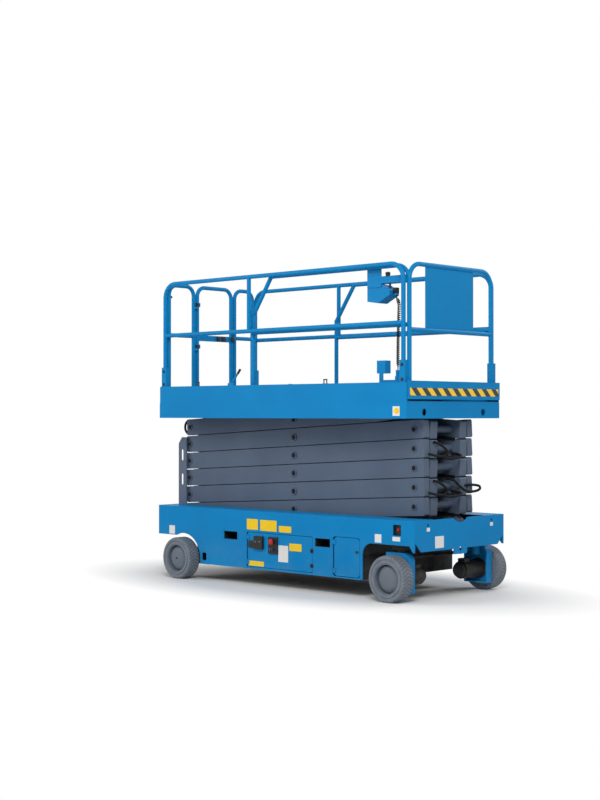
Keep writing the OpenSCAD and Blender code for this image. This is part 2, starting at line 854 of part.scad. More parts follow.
// Half section of a tyre: flat tread, round shoulders and a groove in each side wall
module tyre_section() {
    wall_h = (tyre_d - rim_d) / 2;
    difference() {
        translate([rim_d / 2, 0]) {
            translate([0, -tyre_w / 2 + shoulder_r]) square([wall_h, tyre_w - 2 * shoulder_r]);
            translate([0, -tyre_w / 2]) square([wall_h - shoulder_r, tyre_w]);
            for (y = [-tyre_w / 2 + shoulder_r, tyre_w / 2 - shoulder_r])
                translate([wall_h - shoulder_r, y]) circle(shoulder_r);
        }
        for (side = [-1, 1]) translate([rim_d / 2 + groove_out, side * tyre_w / 2]) circle(groove_r);
    }
}

module tyre(x, left) on_side(left) color(wheel_grey)
    translate([x, -wheel_y, wheel_z]) rotate([90, 0, 0]) rotate_extrude() tyre_section();

module rim(x, left) on_side(left) color(wheel_grey)
    translate([x, -wheel_y, wheel_z]) rotate([90, 0, 0]) difference() {
        seat_r = rim_d / 2 - rim_gap;
        bore_r = spindle_d / 2 + run_fit;
        rotate_extrude() {
            translate([seat_r - rim_wall, -tyre_w / 2 + rim_lip]) square([rim_wall, tyre_w - 2 * rim_lip]);
            translate([bore_r, -disc_low]) square([seat_r - bore_r - cut, disc_t]);
            translate([bore_r, -hub_low]) square([hub_d / 2 - bore_r, hub_l]);
        }
        for (i = [0 : rim_holes - 1])
            rotate([0, 0, 360 / rim_holes * i]) translate([rim_hole_r, 0, -2 * disc_low])
                cylinder(h = 3 * disc_t, d = rim_hole_d);
    }

module tyre_front_right() tyre(front_wheel_x, false);
module tyre_front_left() tyre(front_wheel_x, true);
module tyre_rear_right() tyre(rear_wheel_x, false);
module tyre_rear_left() tyre(rear_wheel_x, true);
module rim_front_right() rim(front_wheel_x, false);
module rim_front_left() rim(front_wheel_x, true);
module rim_rear_right() rim(rear_wheel_x, false);
module rim_rear_left() rim(rear_wheel_x, true);

// Scissor stack

// End of an arm past the pin at the origin, towards -X: square with eased corners, or round
// where it has no overhang
module arm_end(over, round_r, inset) {
    h = arm_h / 2 - inset;
    if (over > 0) translate([-over + inset, -h])
        soft_square([over + arm_taper / 2, 2 * h], arm_corner_r - inset / 2);
    else circle(round_r - inset);
}

// Side outline of an arm from its first pin at the origin to its last pin along X
module arm_outline(over, round_r, inset) {
    h = arm_h / 2 - inset;
    a = over[0] > 0 ? h : round_r[0] - inset;
    b = over[1] > 0 ? h : round_r[1] - inset;
    polygon([[0, -a], [arm_taper, -h], [arm_l - arm_taper, -h], [arm_l, -b], [arm_l, b],
             [arm_l - arm_taper, h], [arm_taper, h], [0, a]]);
    arm_end(over[0], round_r[0], inset);
    translate([arm_l, 0]) mirror([1, 0]) arm_end(over[1], round_r[1], inset);
}

// A boxed arm between y0 and y1: a hollow tube with solid pin bosses
module arm(y0, y1, over, round_r) {
    difference() {
        xz_plate(y0, y1) arm_outline(over, round_r, 0);
        xz_plate(y0 + arm_wall, y1 - arm_wall) difference() {
            arm_outline(over, round_r, arm_wall);
            for (x = [0, arm_l]) translate([x - front_over, -arm_h]) square([2 * front_over, 2 * arm_h]);
            translate([arm_l / 2 - arm_boss, -arm_h]) square([2 * arm_boss, 2 * arm_h]);
        }
    }
}

// The pair of outer arms of a level, bored for the pins of the inner arms
module outer_arms(level) color(steel_blue)
    translate([rear_pin_x, 0, base_pin_z + (level - 1) * level_rise]) rotate([0, -stow_deg, 0]) both_sides() {
        last = level == levels;
        difference() {
            arm(-outer_face_y, -outer_in_y, [rear_over, last ? 0 : front_over], [arm_end_r, top_end_r]);
            y_bar(0, 0, -outer_face_y - cut, -outer_in_y + cut, end_pin_d + 2 * run_fit);
            y_bar(arm_l / 2, 0, -outer_face_y - cut, -outer_in_y + cut, mid_pin_d + 2 * run_fit);
            if (!last) y_bar(arm_l, 0, -outer_face_y - cut, -outer_in_y + cut, end_pin_d + 2 * run_fit);
        }
        if (last) {
            y_bar(arm_l, 0, -roller_y - cut, -outer_face_y + cut, end_pin_d);
            y_bar(arm_l, 0, -roller_y - roller_w, -roller_y, roller_d);
        }
    }

// A pin from an inner arm out through the outer arm, with a collar between them and a cap outside
module arm_pin(x, d) {
    cap_y = outer_face_y + pin_gap;
    y_bar(x, 0, -cap_y - pin_cap_t, -inner_face_y + cut, d);
    y_bar(x, 0, -outer_in_y + seat, -inner_face_y + cut, d + 2 * collar_rim);
    y_bar(x, 0, -cap_y - pin_cap_t, -cap_y, d + 2 * pin_cap_rim);
}

// The pair of inner arms of a level, drawn from the front foot to the rear top
module inner_arms(level) color(steel_blue)
    translate([front_pin_x, 0, base_pin_z + (level - 1) * level_rise]) rotate([0, stow_deg, 0])
        mirror([1, 0, 0]) {
            first = level == 1;
            last = level == levels;
            both_sides() {
                arm(-inner_face_y, -inner_in_y, [first ? 0 : front_over, last ? 0 : rear_over],
                    [arm_end_r, top_end_r]);
                arm_pin(arm_l / 2, mid_pin_d);
                if (first) {
                    y_bar(0, 0, -outer_in_y - cut, -inner_face_y + cut, end_pin_d);
                    y_bar(0, 0, -outer_in_y - pin_gap - roller_w, -outer_in_y - pin_gap, roller_d);
                } else arm_pin(0, end_pin_d);
                if (last) y_bar(arm_l, 0, -bracket_y - bracket_t - pin_gap, -inner_face_y + cut, end_pin_d);
                else arm_pin(arm_l, end_pin_d);
            }
            for (x = [0, arm_l]) y_bar(x, 0, -inner_in_y - cut, inner_in_y + cut, cross_d);
            if (level == 2 || level == 4) y_bar(arm_l / 2, 0, -inner_in_y - cut, inner_in_y + cut, cross_d);
            if (level == 3 || level == 5)
                y_bar(arm_l * push_share, 0, -inner_in_y - cut, inner_in_y + cut, push_tube_d);
        }

module outer_arms_1() outer_arms(1);
module outer_arms_2() outer_arms(2);
module outer_arms_3() outer_arms(3);
module outer_arms_4() outer_arms(4);
module outer_arms_5() outer_arms(5);
module outer_arms_6() outer_arms(6);
module inner_arms_1() inner_arms(1);
module inner_arms_2() inner_arms(2);
module inner_arms_3() inner_arms(3);
module inner_arms_4() inner_arms(4);
module inner_arms_5() inner_arms(5);
module inner_arms_6() inner_arms(6);

// Places its children at the base eye of a lift cylinder, with X along the cylinder
module at_ram(level) {
    translate([rear_pin_x + arm_run / 2, 0, base_pin_z + (level - 0.5) * level_rise])
        rotate([0, -ram_deg, 0]) children();
}

// A cylinder along X between x0 and x1
module x_bar(x0, x1, d) {
    translate([x0, 0, 0]) rotate([0, 90, 0]) cylinder(h = x1 - x0, d = d);
}

module barrel(level) color(dark) at_ram(level) difference() {
    union() {
        x_bar(0, ram_mouth, barrel_d);
        x_bar(ram_mouth - ram_collar_l, ram_mouth - cut, barrel_d + 2 * ram_collar_rim);
        y_bar(0, 0, -ram_eye_w / 2, ram_eye_w / 2, ram_eye_d);
    }
    y_bar(0, 0, -ram_eye_w, ram_eye_w, cross_d + 2 * run_fit);
    x_bar(rod_foot - rod_slack, ram_mouth + cut, rod_d + 2 * cut);
}

module ram_rod(level) color(pale) at_ram(level) {
    x_bar(rod_foot, ram_mouth + rod_show + cut, rod_d);
    x_bar(ram_mouth + rod_show, ram_mouth + rod_show + ram_head_l, ram_head_d);
}

module lower_barrel() barrel(2);
module lower_rod() ram_rod(2);
module upper_barrel() barrel(4);
module upper_rod() ram_rod(4);

// Platform

// Deck plate with the pin brackets and roller tracks below it
module platform_deck() color(blue) {
    roller_top = top_pin_z + roller_d / 2 + seat;
    roller_low = top_pin_z - roller_d / 2 - seat;
    block([deck_rear_x + skirt_t, -skirt_in_y, deck_low_z], [beam_front_x - skirt_t, skirt_in_y, deck_z]);
    both_sides() {
        difference() {
            block([rear_pin_x - bracket_half, -bracket_y - bracket_t, top_pin_z - bracket_drop],
                  [rear_pin_x + bracket_half, -bracket_y, deck_low_z + cut]);
            y_bar(rear_pin_x, top_pin_z, -bracket_y - bracket_t - cut, -bracket_y + cut,
                  end_pin_d + 2 * run_fit);
        }
        block([track_rear_x, -track_web_y - track_bar_t, roller_low - track_bar_t],
              [track_front_x, -track_web_y, deck_low_z + cut]);
        block([track_rear_x, -track_web_y - cut, roller_low - track_bar_t],
              [track_front_x, -roller_y, roller_low]);
        block([track_rear_x, -track_web_y - cut, roller_top], [track_front_x, -roller_y, deck_low_z + cut]);
    }
}

// Skirts and toe boards round the deck
module platform_skirts() color(blue) {
    both_sides() {
        block([deck_rear_x, -deck_half_w, skirt_z], [beam_front_x, -skirt_in_y, skirt_fold_z]);
        block([deck_rear_x, -deck_half_w + skirt_step, skirt_fold_z - cut],
              [beam_front_x, -skirt_in_y, deck_z + cut]);
        block([deck_rear_x, -deck_half_w + skirt_step, deck_z],
              [beam_front_x, -skirt_in_y + skirt_step, toe_z]);
    }
    block([deck_rear_x, -skirt_in_y - cut, skirt_z], [deck_rear_x + skirt_t, skirt_in_y + cut, toe_z]);
    yz_plate(beam_front_x - skirt_t, beam_front_x) difference() {
        translate([-skirt_in_y - cut, skirt_z])
            square([2 * skirt_in_y + 2 * cut, deck_z - skirt_step - skirt_z]);
        for (y = [-deck_half_w + beam_hole_in, deck_half_w - beam_hole_in])
            translate([y, deck_z - beam_hole_drop]) circle(d = beam_hole_d);
    }
}

module side_rail(left) on_side(left) color(blue) translate([0, -rail_y, 0]) {
    hoop(rail_rear_x, rail_front_x, deck_z, rail_z, rail_bend_r, rail_d);
    strut([rail_rear_x, 0, mid_rail_z], [rail_front_x, 0, mid_rail_z], rail_d);
    strut([hanger_x, 0, mid_rail_z], [hanger_x, 0, rail_z], rail_d);
    for (x = [rail_rear_x, rail_front_x])
        block([x - foot_w / 2, -rail_r, deck_z], [x + foot_w / 2, rail_r + foot_in, deck_z + foot_h]);
}

module side_rail_right() side_rail(false);
module side_rail_left() side_rail(true);

module rear_rails() color(blue) {
    for (y = [near_post_y, far_post_y]) {
        cross_hoop(rail_rear_x, y[0], y[1], deck_z, rail_z, rear_bend_r, rail_d);
        strut([rail_rear_x, y[0], rear_mid_z], [rail_rear_x, y[1], rear_mid_z], rail_d);
    }
    for (z = gate_hinge_z) translate([0, 0, z - knuckle_h]) difference() {
        union() {
            block([rail_rear_x, near_post_y[1] - leaf_gap, 0],
                  [gate_hinge.x + leaf_over, gate_hinge.y - leaf_gap, knuckle_h]);
            translate([gate_hinge.x, gate_hinge.y, 0]) cylinder(h = knuckle_h, d = knuckle_d);
        }
        translate([gate_hinge.x, gate_hinge.y, -cut])
            cylinder(h = knuckle_h + 2 * cut, d = gate_pin_d + 2 * run_fit);
    }
}

module gate() color(blue) {
    low_tube_z = gate_low_z + rail_r;
    cross_hoop(rail_rear_x, gate_post_y[0], gate_post_y[1], gate_low_z, rail_z, rear_bend_r, rail_d);
    strut([rail_rear_x, gate_post_y[0], low_tube_z], [rail_rear_x, gate_post_y[1], low_tube_z], rail_d);
    block([rail_rear_x - gate_bar_half, gate_post_y[0], deck_z + gate_bar_h[0]],
          [rail_rear_x + gate_bar_half, gate_post_y[1], deck_z + gate_bar_h[1]]);
    for (z = gate_hinge_z) translate([0, 0, z + pin_gap]) {
        block([rail_rear_x, gate_hinge.y + leaf_gap, 0],
              [gate_hinge.x + leaf_over, gate_post_y[0] + leaf_gap, gate_knuckle_h]);
        translate([gate_hinge.x, gate_hinge.y, 0]) cylinder(h = gate_knuckle_h, d = knuckle_d);
        translate([gate_hinge.x, gate_hinge.y, -knuckle_h - leaf_gap])
            cylinder(h = knuckle_h + leaf_gap + cut, d = gate_pin_d);
    }
}

module roll_out_deck() color(blue) {
    block([roll_rear_x, -roll_half_w, roll_low_z], [beam_front_x + roll_lap, roll_half_w, roll_z]);
    block([beam_front_x + roll_lap / 2, -skirt_in_y, roll_low_z], [deck_front_x, skirt_in_y, roll_toe_z]);
    both_sides() for (i = [0 : pads - 1])
        translate([roll_rear_x + i * pad_pitch, -roll_half_w, deck_z + seat])
            cube([pad_l, pad_w, roll_lift - seat + cut]);
}

module roll_out_rails() color(blue) {
    cross_hoop(roll_front_x, -roll_y, roll_y, roll_z, rail_z, rail_bend_r, rail_d);
    strut([roll_front_x, -roll_y, roll_mid_z], [roll_front_x, roll_y, roll_mid_z], rail_d);
    block([roll_front_x - sheet_half, panel_y[0], roll_mid_z],
          [roll_front_x + sheet_half, panel_y[1], rail_z]);
    both_sides() translate([0, -roll_y, 0]) {
        strut([brace_x, 0, roll_side_z], [roll_front_x - rail_bend_r, 0, roll_side_z], rail_d);
        translate([roll_front_x - rail_bend_r, 0, roll_side_z - rail_bend_r]) rotate([90, 0, 0])
            rotate_extrude(angle = 90) translate([rail_bend_r, 0]) circle(d = rail_d - bend_step);
        strut([roll_post_x, 0, roll_side_mid_z], [roll_front_x, 0, roll_side_mid_z], rail_d);
        strut([roll_post_x, 0, roll_z], [roll_post_x, 0, roll_knee_z], rail_d);
        strut([roll_post_x, 0, roll_knee_z], [brace_x, 0, roll_side_z], rail_d);
        for (p = [[brace_x, 0, roll_side_z], [roll_post_x, 0, roll_knee_z]])
            translate(p) sphere(d = rail_d + joint_rim);
    }
}

module control_box() color(blue) {
    front_y = box_y + plate_t;
    hook_z = roll_side_z + rail_r + seat;
    block([box_x + plate_in, box_y, roll_side_z - plate_drop],
          [box_x + top_l, front_y, roll_side_z + plate_rise]);
    block([box_x + plate_in + hook_in, -roll_y - hook_lap, hook_z],
          [box_x + top_l - hook_in, front_y, hook_z + plate_t]);
    translate([box_x, 0, box_z]) xz_plate(front_y - cut, front_y + box_w)
        polygon([[0, chin_h], [chin_l, 0], [box_l - nose_l, 0], [box_l, nose_h], [box_l, nose_top],
                 [top_l, box_h], [0, box_h]]);
    block([box_x + top_l - cut, box_y, roll_side_z - arm_bar_drop[1]],
          [roll_front_x - rail_r - seat, front_y, roll_side_z - arm_bar_drop[0]]);
    translate([box_x + stop_run, box_y + plate_t / 2, roll_side_z - arm_bar_drop[0] - cut])
        cylinder(h = stop_h + cut, d = stop_d);
    translate([stick_x, front_y + box_w / 2, box_z + stick_foot]) cylinder(h = stick_h, d = stick_d);
    translate([gland_at.x, gland_at.y, box_z + gland_rise]) cylinder(h = gland_h, d = gland_d);
    translate([gland_at.x + gland_d / 2 - gland_block.x, gland_at.y - gland_block.y / 2,
               box_z + gland_rise + gland_h / 2])
        cube(gland_block);
}

module socket_box() color(blue) {
    leg_y = -roll_y + leg_in;
    block([leg_x, leg_y, roll_z], [leg_x + leg_w, leg_y + leg_t, roll_z + leg_h]);
    block([leg_x - socket_box_over, leg_y, roll_z + socket_box_z[0]],
          [leg_x + leg_w + socket_box_over, leg_y + socket_box_w, roll_z + socket_box_z[1]]);
    block([leg_x + leg_w - cut, leg_y, roll_z], [leg_x + leg_w + flange_l, leg_y + leg_t, roll_z + flange_h]);
    block([plug_x - shelf_half, leg_y + leg_t - cut, roll_z + shelf_z[0]],
          [plug_x + shelf_half, leg_y + shelf_w, roll_z + shelf_z[1]]);
    translate([plug_x, plug_y, roll_z + plug_z[0]]) cylinder(h = plug_z[1] - plug_z[0], d = plug_d);
}

// A polygon ring of the cord's section round a route point, square to the route there
function along(i) = let (a = cord_route[max(i - 1, 0)], b = cord_route[min(i + 1, len(cord_route) - 1)])
    (b - a) / norm(b - a);
function ring(i) = let (t = along(i), u = cross(t, [0, 1, 0]) / norm(cross(t, [0, 1, 0])), v = cross(t, u))
    [for (k = [0 : cord_sides - 1]) let (a = 360 * k / cord_sides)
        cord_route[i] + cord_d / 2 * (cos(a) * u + sin(a) * v)];

module control_cord() color(dark) {
    n = len(cord_route);
    points = [for (i = [0 : n - 1]) each ring(i)];
    sides = [for (i = [0 : n - 2], k = [0 : cord_sides - 1]) let (m = (k + 1) % cord_sides)
        [i * cord_sides + k, i * cord_sides + m, (i + 1) * cord_sides + m, (i + 1) * cord_sides + k]];
    first = [for (k = [cord_sides - 1 : -1 : 0]) k];
    last = [for (k = [0 : cord_sides - 1]) (n - 1) * cord_sides + k];
    polyhedron(points, concat(sides, [first], [last]));
}

trough();
top_plates();
belly_box();
fork_pockets();
side_panel_right();
side_panel_left();
front_cover();
rear_cover();
ladder();
tray_door_right();
tray_door_left();
access_door_right();
access_door_left();
ground_controls();
batteries();
front_axle();
rear_axle();
yoke_right();
yoke_left();
drive_motor_right();
drive_motor_left();
tie_rod();
tyre_front_right();
tyre_front_left();
tyre_rear_right();
tyre_rear_left();
rim_front_right();
rim_front_left();
rim_rear_right();
rim_rear_left();
outer_arms_1();
outer_arms_2();
outer_arms_3();
outer_arms_4();
outer_arms_5();
outer_arms_6();
inner_arms_1();
inner_arms_2();
inner_arms_3();
inner_arms_4();
inner_arms_5();
inner_arms_6();
lower_barrel();
lower_rod();
upper_barrel();
upper_rod();
platform_deck();
platform_skirts();
side_rail_right();
side_rail_left();
rear_rails();
gate();
roll_out_deck();
roll_out_rails();
control_box();
socket_box();
control_cord();
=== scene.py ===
"""Looks of a stowed scissor lift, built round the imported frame, in metres."""
import json
import math

import bmesh
import bpy
from mathutils import Matrix, Vector


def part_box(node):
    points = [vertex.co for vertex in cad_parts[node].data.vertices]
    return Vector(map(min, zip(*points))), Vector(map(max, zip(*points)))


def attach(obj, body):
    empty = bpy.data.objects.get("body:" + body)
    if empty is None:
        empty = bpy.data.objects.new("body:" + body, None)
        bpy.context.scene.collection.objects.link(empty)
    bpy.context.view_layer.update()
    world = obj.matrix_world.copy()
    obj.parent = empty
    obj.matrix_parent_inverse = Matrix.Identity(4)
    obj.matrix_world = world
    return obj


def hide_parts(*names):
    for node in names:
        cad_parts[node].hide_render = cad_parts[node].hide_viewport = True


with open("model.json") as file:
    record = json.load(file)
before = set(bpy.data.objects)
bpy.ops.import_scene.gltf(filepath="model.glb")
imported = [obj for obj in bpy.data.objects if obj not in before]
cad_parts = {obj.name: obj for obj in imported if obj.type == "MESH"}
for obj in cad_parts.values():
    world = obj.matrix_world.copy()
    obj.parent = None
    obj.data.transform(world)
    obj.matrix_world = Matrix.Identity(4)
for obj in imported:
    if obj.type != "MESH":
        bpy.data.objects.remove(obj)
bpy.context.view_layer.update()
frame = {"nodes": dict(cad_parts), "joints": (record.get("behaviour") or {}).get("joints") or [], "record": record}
scene = bpy.context.scene
nodes = frame["nodes"]
hinges = [joint for joint in frame["joints"] if joint["type"] == "hinge"]
hinge_at = {hinge["name"]: hinge["pos_m"] for hinge in hinges}

# Camera, from the fitted view of the photograph

PHOTO_H = 800
FOCAL_PX = 1447.5
SENSOR_MM = 36.0
CLIP_END = 200
CAMERA_AT = Vector((8.849, -9.624, 1.519))
VIEW_AZIMUTH = math.radians(43.507)
VIEW_ELEVATION = math.radians(-0.563)


def aim(direction):
    """Rotation that turns a camera or a lamp to a direction."""
    return direction.to_track_quat("-Z", "Y").to_euler()


def add_camera():
    data = bpy.data.cameras.new("camera")
    data.sensor_fit = "VERTICAL"
    data.sensor_height = SENSOR_MM
    data.lens = FOCAL_PX / PHOTO_H * SENSOR_MM
    data.clip_end = CLIP_END
    camera = bpy.data.objects.new("camera", data)
    scene.collection.objects.link(camera)
    level = math.cos(VIEW_ELEVATION)
    rise = -math.sin(VIEW_ELEVATION)
    forward = Vector((-math.sin(VIEW_AZIMUTH) * level, math.cos(VIEW_AZIMUTH) * level, rise))
    camera.location = CAMERA_AT
    camera.rotation_euler = aim(forward)
    scene.camera = camera


# Shader maths


class Signal:
    """A socket that can be used in arithmetic; each operation adds a Math node."""

    def __init__(self, shader, socket):
        self.shader = shader
        self.socket = socket

    def _math(self, operation, *values):
        settings = {"operation": operation}
        return self.shader.node("ShaderNodeMath", settings, dict(enumerate(values)))

    def __add__(self, other):
        return self._math("ADD", self, other)

    def __sub__(self, other):
        return self._math("SUBTRACT", self, other)

    def __rsub__(self, other):
        return self._math("SUBTRACT", other, self)

    def __mul__(self, other):
        return self._math("MULTIPLY", self, other)

    def __truediv__(self, other):
        return self._math("DIVIDE", self, other)

    def __rtruediv__(self, other):
        return self._math("DIVIDE", other, self)

    __radd__ = __add__
    __rmul__ = __mul__

    def above(self, limit):
        return self._math("GREATER_THAN", self, limit)

    def below(self, limit):
        return self._math("LESS_THAN", self, limit)

    def fold(self, period):
        return self._math("PINGPONG", self, period)

    def wrap(self, period):
        return self._math("WRAP", self, period, 0.0)

    def larger(self, other):
        return self._math("MAXIMUM", self, other)

    def size(self):
        return self._math("ABSOLUTE", self)

    def angle_from(self, level):
        return self._math("ARCTAN2", self, level)

    def clamped(self):
        return self.shader.node("ShaderNodeClamp", {}, {0: self})

    def part(self, output):
        return Signal(self.shader, self.socket.node.outputs[output])


class Shader:
    """The nodes of a material or a world under construction."""

    def __init__(self, owner, surface, output):
        owner.use_nodes = True
        self.owner = owner
        self.tree = owner.node_tree
        self.surface = self.tree.nodes[surface]
        self.output = self.tree.nodes[output]

    def node(self, kind, settings, inputs):
        made = self.tree.nodes.new(kind)
        for key, value in settings.items():
            if key == "stops":
                self._set_stops(made.color_ramp, value)
            else:
                setattr(made, key, value)
        for key, value in inputs.items():
            self._feed(made.inputs[key], value)
        return Signal(self, made.outputs[0])

    @staticmethod
    def _set_stops(ramp, stops):
        for element, (place, shade) in zip(ramp.elements, stops):
            element.position = place
            element.color = (shade, shade, shade, 1)

    def _feed(self, socket, value):
        if isinstance(value, Signal):
            self.tree.links.new(value.socket, socket)
        elif isinstance(value, tuple) and len(value) == 3 and socket.type == "RGBA":
            socket.default_value = (*value, 1)
        else:
            socket.default_value = value

    def place(self):
        return self.node("ShaderNodeTexCoord", {}, {}).part("Object")

    def axes(self):
        split = self.node("ShaderNodeSeparateXYZ", {}, {0: self.place()})
        return split.part("X"), split.part("Y"), split.part("Z")

    def length(self, first, second):
        """Length of a line from its two legs."""
        legs = self.node("ShaderNodeCombineXYZ", {}, {0: first, 1: second})
        return self.node("ShaderNodeVectorMath", {"operation": "LENGTH"}, {0: legs}).part("Value")

    def noise(self, scale, detail=4.0, rough=0.55, stretch=(1, 1, 1)):
        at = self.node("ShaderNodeMapping", {}, {"Vector": self.place(), "Scale": stretch})
        inputs = {"Vector": at, "Scale": scale, "Detail": detail, "Roughness": rough}
        return self.node("ShaderNodeTexNoise", {}, inputs)

    def rise(self, signal, low, high):
        """0 up to a low value of the signal, 1 from a high value on."""
        return self.node("ShaderNodeValToRGB", {"stops": ((low, 0), (high, 1))}, {0: signal})

    def mix(self, factor, first, second):
        """A colour between two; a colour Mix has them on inputs 6 and 7 and gives output 2."""
        inputs = {0: factor, 6: first, 7: second}
        return self.node("ShaderNodeMix", {"data_type": "RGBA"}, inputs).part(2)

    def bump(self, height, strength, distance):
        inputs = {"Height": height, "Strength": strength, "Distance": distance}
        return self.node("ShaderNodeBump", {}, inputs)

    def finish(self, **inputs):
        for key, value in inputs.items():
            self._feed(self.surface.inputs[key.replace("_", " ")], value)
        return self.owner

    def seen(self):
        """1 for rays that show a surface directly, in a mirror or through glass."""
        rays = self.node("ShaderNodeLightPath", {}, {})
        direct = rays.part("Is Camera Ray").larger(rays.part("Is Transmission Ray"))
        return direct.larger(rays.part("Is Glossy Ray"))

    def show_mixed(self, factor, other):
        """Shows the surface where a factor is 0 and another shader where it is 1."""
        inputs = {0: factor, 1: Signal(self, self.surface.outputs[0]), 2: other}
        mixed = self.node("ShaderNodeMixShader", {}, inputs)
        self.tree.links.new(mixed.socket, self.output.inputs["Surface"])


def start_finish(name):
    """A new material's nodes."""
    return Shader(bpy.data.materials.new(name), "Principled BSDF", "Material Output")


def srgb(*seen):
    """Colour as seen on a screen, 0 to 255, to the linear values of a shader."""
    shares = [value / 255 for value in seen]
    return tuple(v / 12.92 if v <= 0.04 else ((v + 0.055) / 1.055) ** 2.4 for v in shares)


# Finishes

BLUE = srgb(6, 132, 194)
BLUE_DEEP = srgb(4, 120, 180)
ARM_GREY = srgb(90, 104, 123)
ARM_DARK = srgb(76, 89, 107)
WHEEL_GREY = srgb(108, 117, 129)
RUBBER_GREY = srgb(104, 113, 124)
DECK_GREY = srgb(120, 126, 132)
DECK_WORN = srgb(150, 155, 160)
BLACK = srgb(30, 31, 34)
YELLOW = srgb(246, 205, 40)
DUST = srgb(150, 146, 138)

PAINT_SPECULAR = 0.08
DUST_TOP = 0.55
FRONT_WHEEL_X, WHEEL_Y, WHEEL_Z = hinge_at["front_left_spin"]
REAR_WHEEL_X = hinge_at["rear_left_spin"][0]
TREAD_BARS = 40
TREAD_SLANT = 18.0
TREAD_DEPTH = 0.012
GROOVE_SHARE = 0.26
DECK_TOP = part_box("platform_deck")[1].z
DECK_FACE = DECK_TOP - 0.0006
LOZENGE_PITCH = 0.036
LOZENGE_THIN = 3.2
LOZENGE_LONG = 1.3
STRIPE_PITCH = 0.135


def paint(name, colour, shade, rough, coat, grime):
    """Sprayed paint: slow shade drift, orange peel, dust low down and thin scuffs."""
    s = start_finish(name)
    z = s.axes()[2]
    drift = s.rise(s.noise(1.7, 3.0), 0.35, 0.7)
    speck = s.rise(s.noise(46.0, 6.0, 0.7), 0.62, 0.74)
    scuff = s.rise(s.noise(9.0, 8.0, 0.75, (1.0, 1.0, 7.0)), 0.66, 0.72)
    low = (1.0 - z / DUST_TOP).clamped() * s.rise(s.noise(5.0, 6.0, 0.65), 0.4, 0.7)
    tint = s.mix(drift * 0.55, colour, shade)
    return s.finish(
        Base_Color=s.mix((low * 0.45 + speck * 0.06 + scuff * 0.10) * grime, tint, DUST),
        Roughness=(rough + drift * 0.06 + speck * 0.12 + low * 0.25 + scuff * 0.12).clamped(),
        Coat_Weight=coat,
        Coat_Roughness=0.12,
        Specular_IOR_Level=PAINT_SPECULAR,
        Normal=s.bump(s.noise(240.0, 2.0, 0.5), 0.05, 0.002),
    )


def rubber_dust(s):
    """Patches of dust on rubber."""
    return s.rise(s.noise(14.0, 7.0, 0.7), 0.4, 0.75)


def rubber(name, colour, shade):
    s = start_finish(name)
    dust = rubber_dust(s)
    return s.finish(
        Base_Color=s.mix(dust, colour, shade),
        Roughness=0.74 + dust * 0.16,
        Specular_IOR_Level=0.2,
        Normal=s.bump(s.noise(420.0, 3.0, 0.6), 0.25, 0.001),
    )


def tread_rubber(name, wheel_x):
    """Solid tyre rubber with slanted tread grooves round the wheel's axle; the grooves are darkened with painted
    shade.
    """
    s = start_finish(name)
    x, y, z = s.axes()
    forward = x - wheel_x
    upward = z - WHEEL_Z
    turn = upward.angle_from(forward) * (TREAD_BARS / math.tau)
    slant = (y.size() - WHEEL_Y).size() * TREAD_SLANT
    groove = (turn + slant).wrap(1.0).below(GROOVE_SHARE)
    groove_and_shade = groove * s.length(forward, upward).above(WHEEL_Z - TREAD_DEPTH)
    dust = rubber_dust(s)
    tint = s.mix(dust, RUBBER_GREY, srgb(128, 134, 141))
    return s.finish(
        # The grooves are mixed towards dark grey: painted shade inside the grooves.
        Base_Color=s.mix(groove_and_shade * 0.55, tint, srgb(62, 65, 70)),
        Roughness=0.74 + dust * 0.16,
        Normal=s.bump(1.0 - groove_and_shade, 0.8, 0.004),
    )


def plastic(name, colour, shade, rough):
    s = start_finish(name)
    cloud = s.noise(24.0, 5.0, 0.6)
    return s.finish(
        Base_Color=s.mix(cloud, colour, shade),
        Roughness=rough + cloud * 0.12,
        Specular_IOR_Level=0.25,
        Normal=s.bump(s.noise(900.0, 2.0, 0.5), 0.18, 0.0006),
    )


def bare_steel(name, colour, rough):
    s = start_finish(name)
    brush = s.noise(60.0, 6.0, 0.7, (1.0, 1.0, 9.0))
    return s.finish(
        Base_Color=s.mix(brush, colour, tuple(v * 0.8 for v in colour)),
        Metallic=1.0,
        Roughness=rough + brush * 0.14,
    )


def ridge(way, sharp):
    """1 on the middle lines of the lozenges, falling to 0 beside them."""
    return (1.0 - (way.wrap(2.0) - 1.0).fold(1.0) * sharp).clamped()


def tread_plate(name):
    """Deck plate with raised lozenges in two directions."""
    s = start_finish(name)
    x, y = s.axes()[:2]
    u = (x + y) / LOZENGE_PITCH
    v = (x - y) / LOZENGE_PITCH
    one_way = ridge(u, LOZENGE_THIN) * ridge(v, LOZENGE_LONG)
    other_way = ridge(u + 1.0, LOZENGE_LONG) * ridge(v + 1.0, LOZENGE_THIN)
    lift = (one_way + other_way).clamped()
    worn = s.noise(6.0, 7.0, 0.65)
    return s.finish(
        Base_Color=s.mix(worn * 0.7 + lift * 0.25, DECK_GREY, DECK_WORN),
        Roughness=0.42 + worn * 0.2,
        Normal=s.bump(lift, 0.9, 0.002),
    )


def deck_paint(name):
    """Blue edges and underside with a worn grey walking face."""
    s = start_finish(name)
    z = s.axes()[2]
    worn = s.noise(6.0, 7.0, 0.65)
    walked = s.mix(worn * 0.7, DECK_GREY, DECK_WORN)
    return s.finish(
        Base_Color=s.mix(z.above(DECK_FACE), BLUE, walked),
        Roughness=0.42 + worn * 0.2,
        Specular_IOR_Level=PAINT_SPECULAR,
    )


def hazard(name):
    """Yellow and black slanted bands."""
    s = start_finish(name)
    y, z = s.axes()[1:]
    band = ((y + z) / STRIPE_PITCH).wrap(1.0).above(0.5)
    worn = s.rise(s.noise(38.0, 7.0, 0.7), 0.6, 0.72)
    tint = s.mix(band, YELLOW, srgb(28, 28, 30))
    return s.finish(
        Base_Color=s.mix(worn * 0.25, tint, srgb(150, 148, 140)),
        Roughness=0.38 + worn * 0.3,
    )


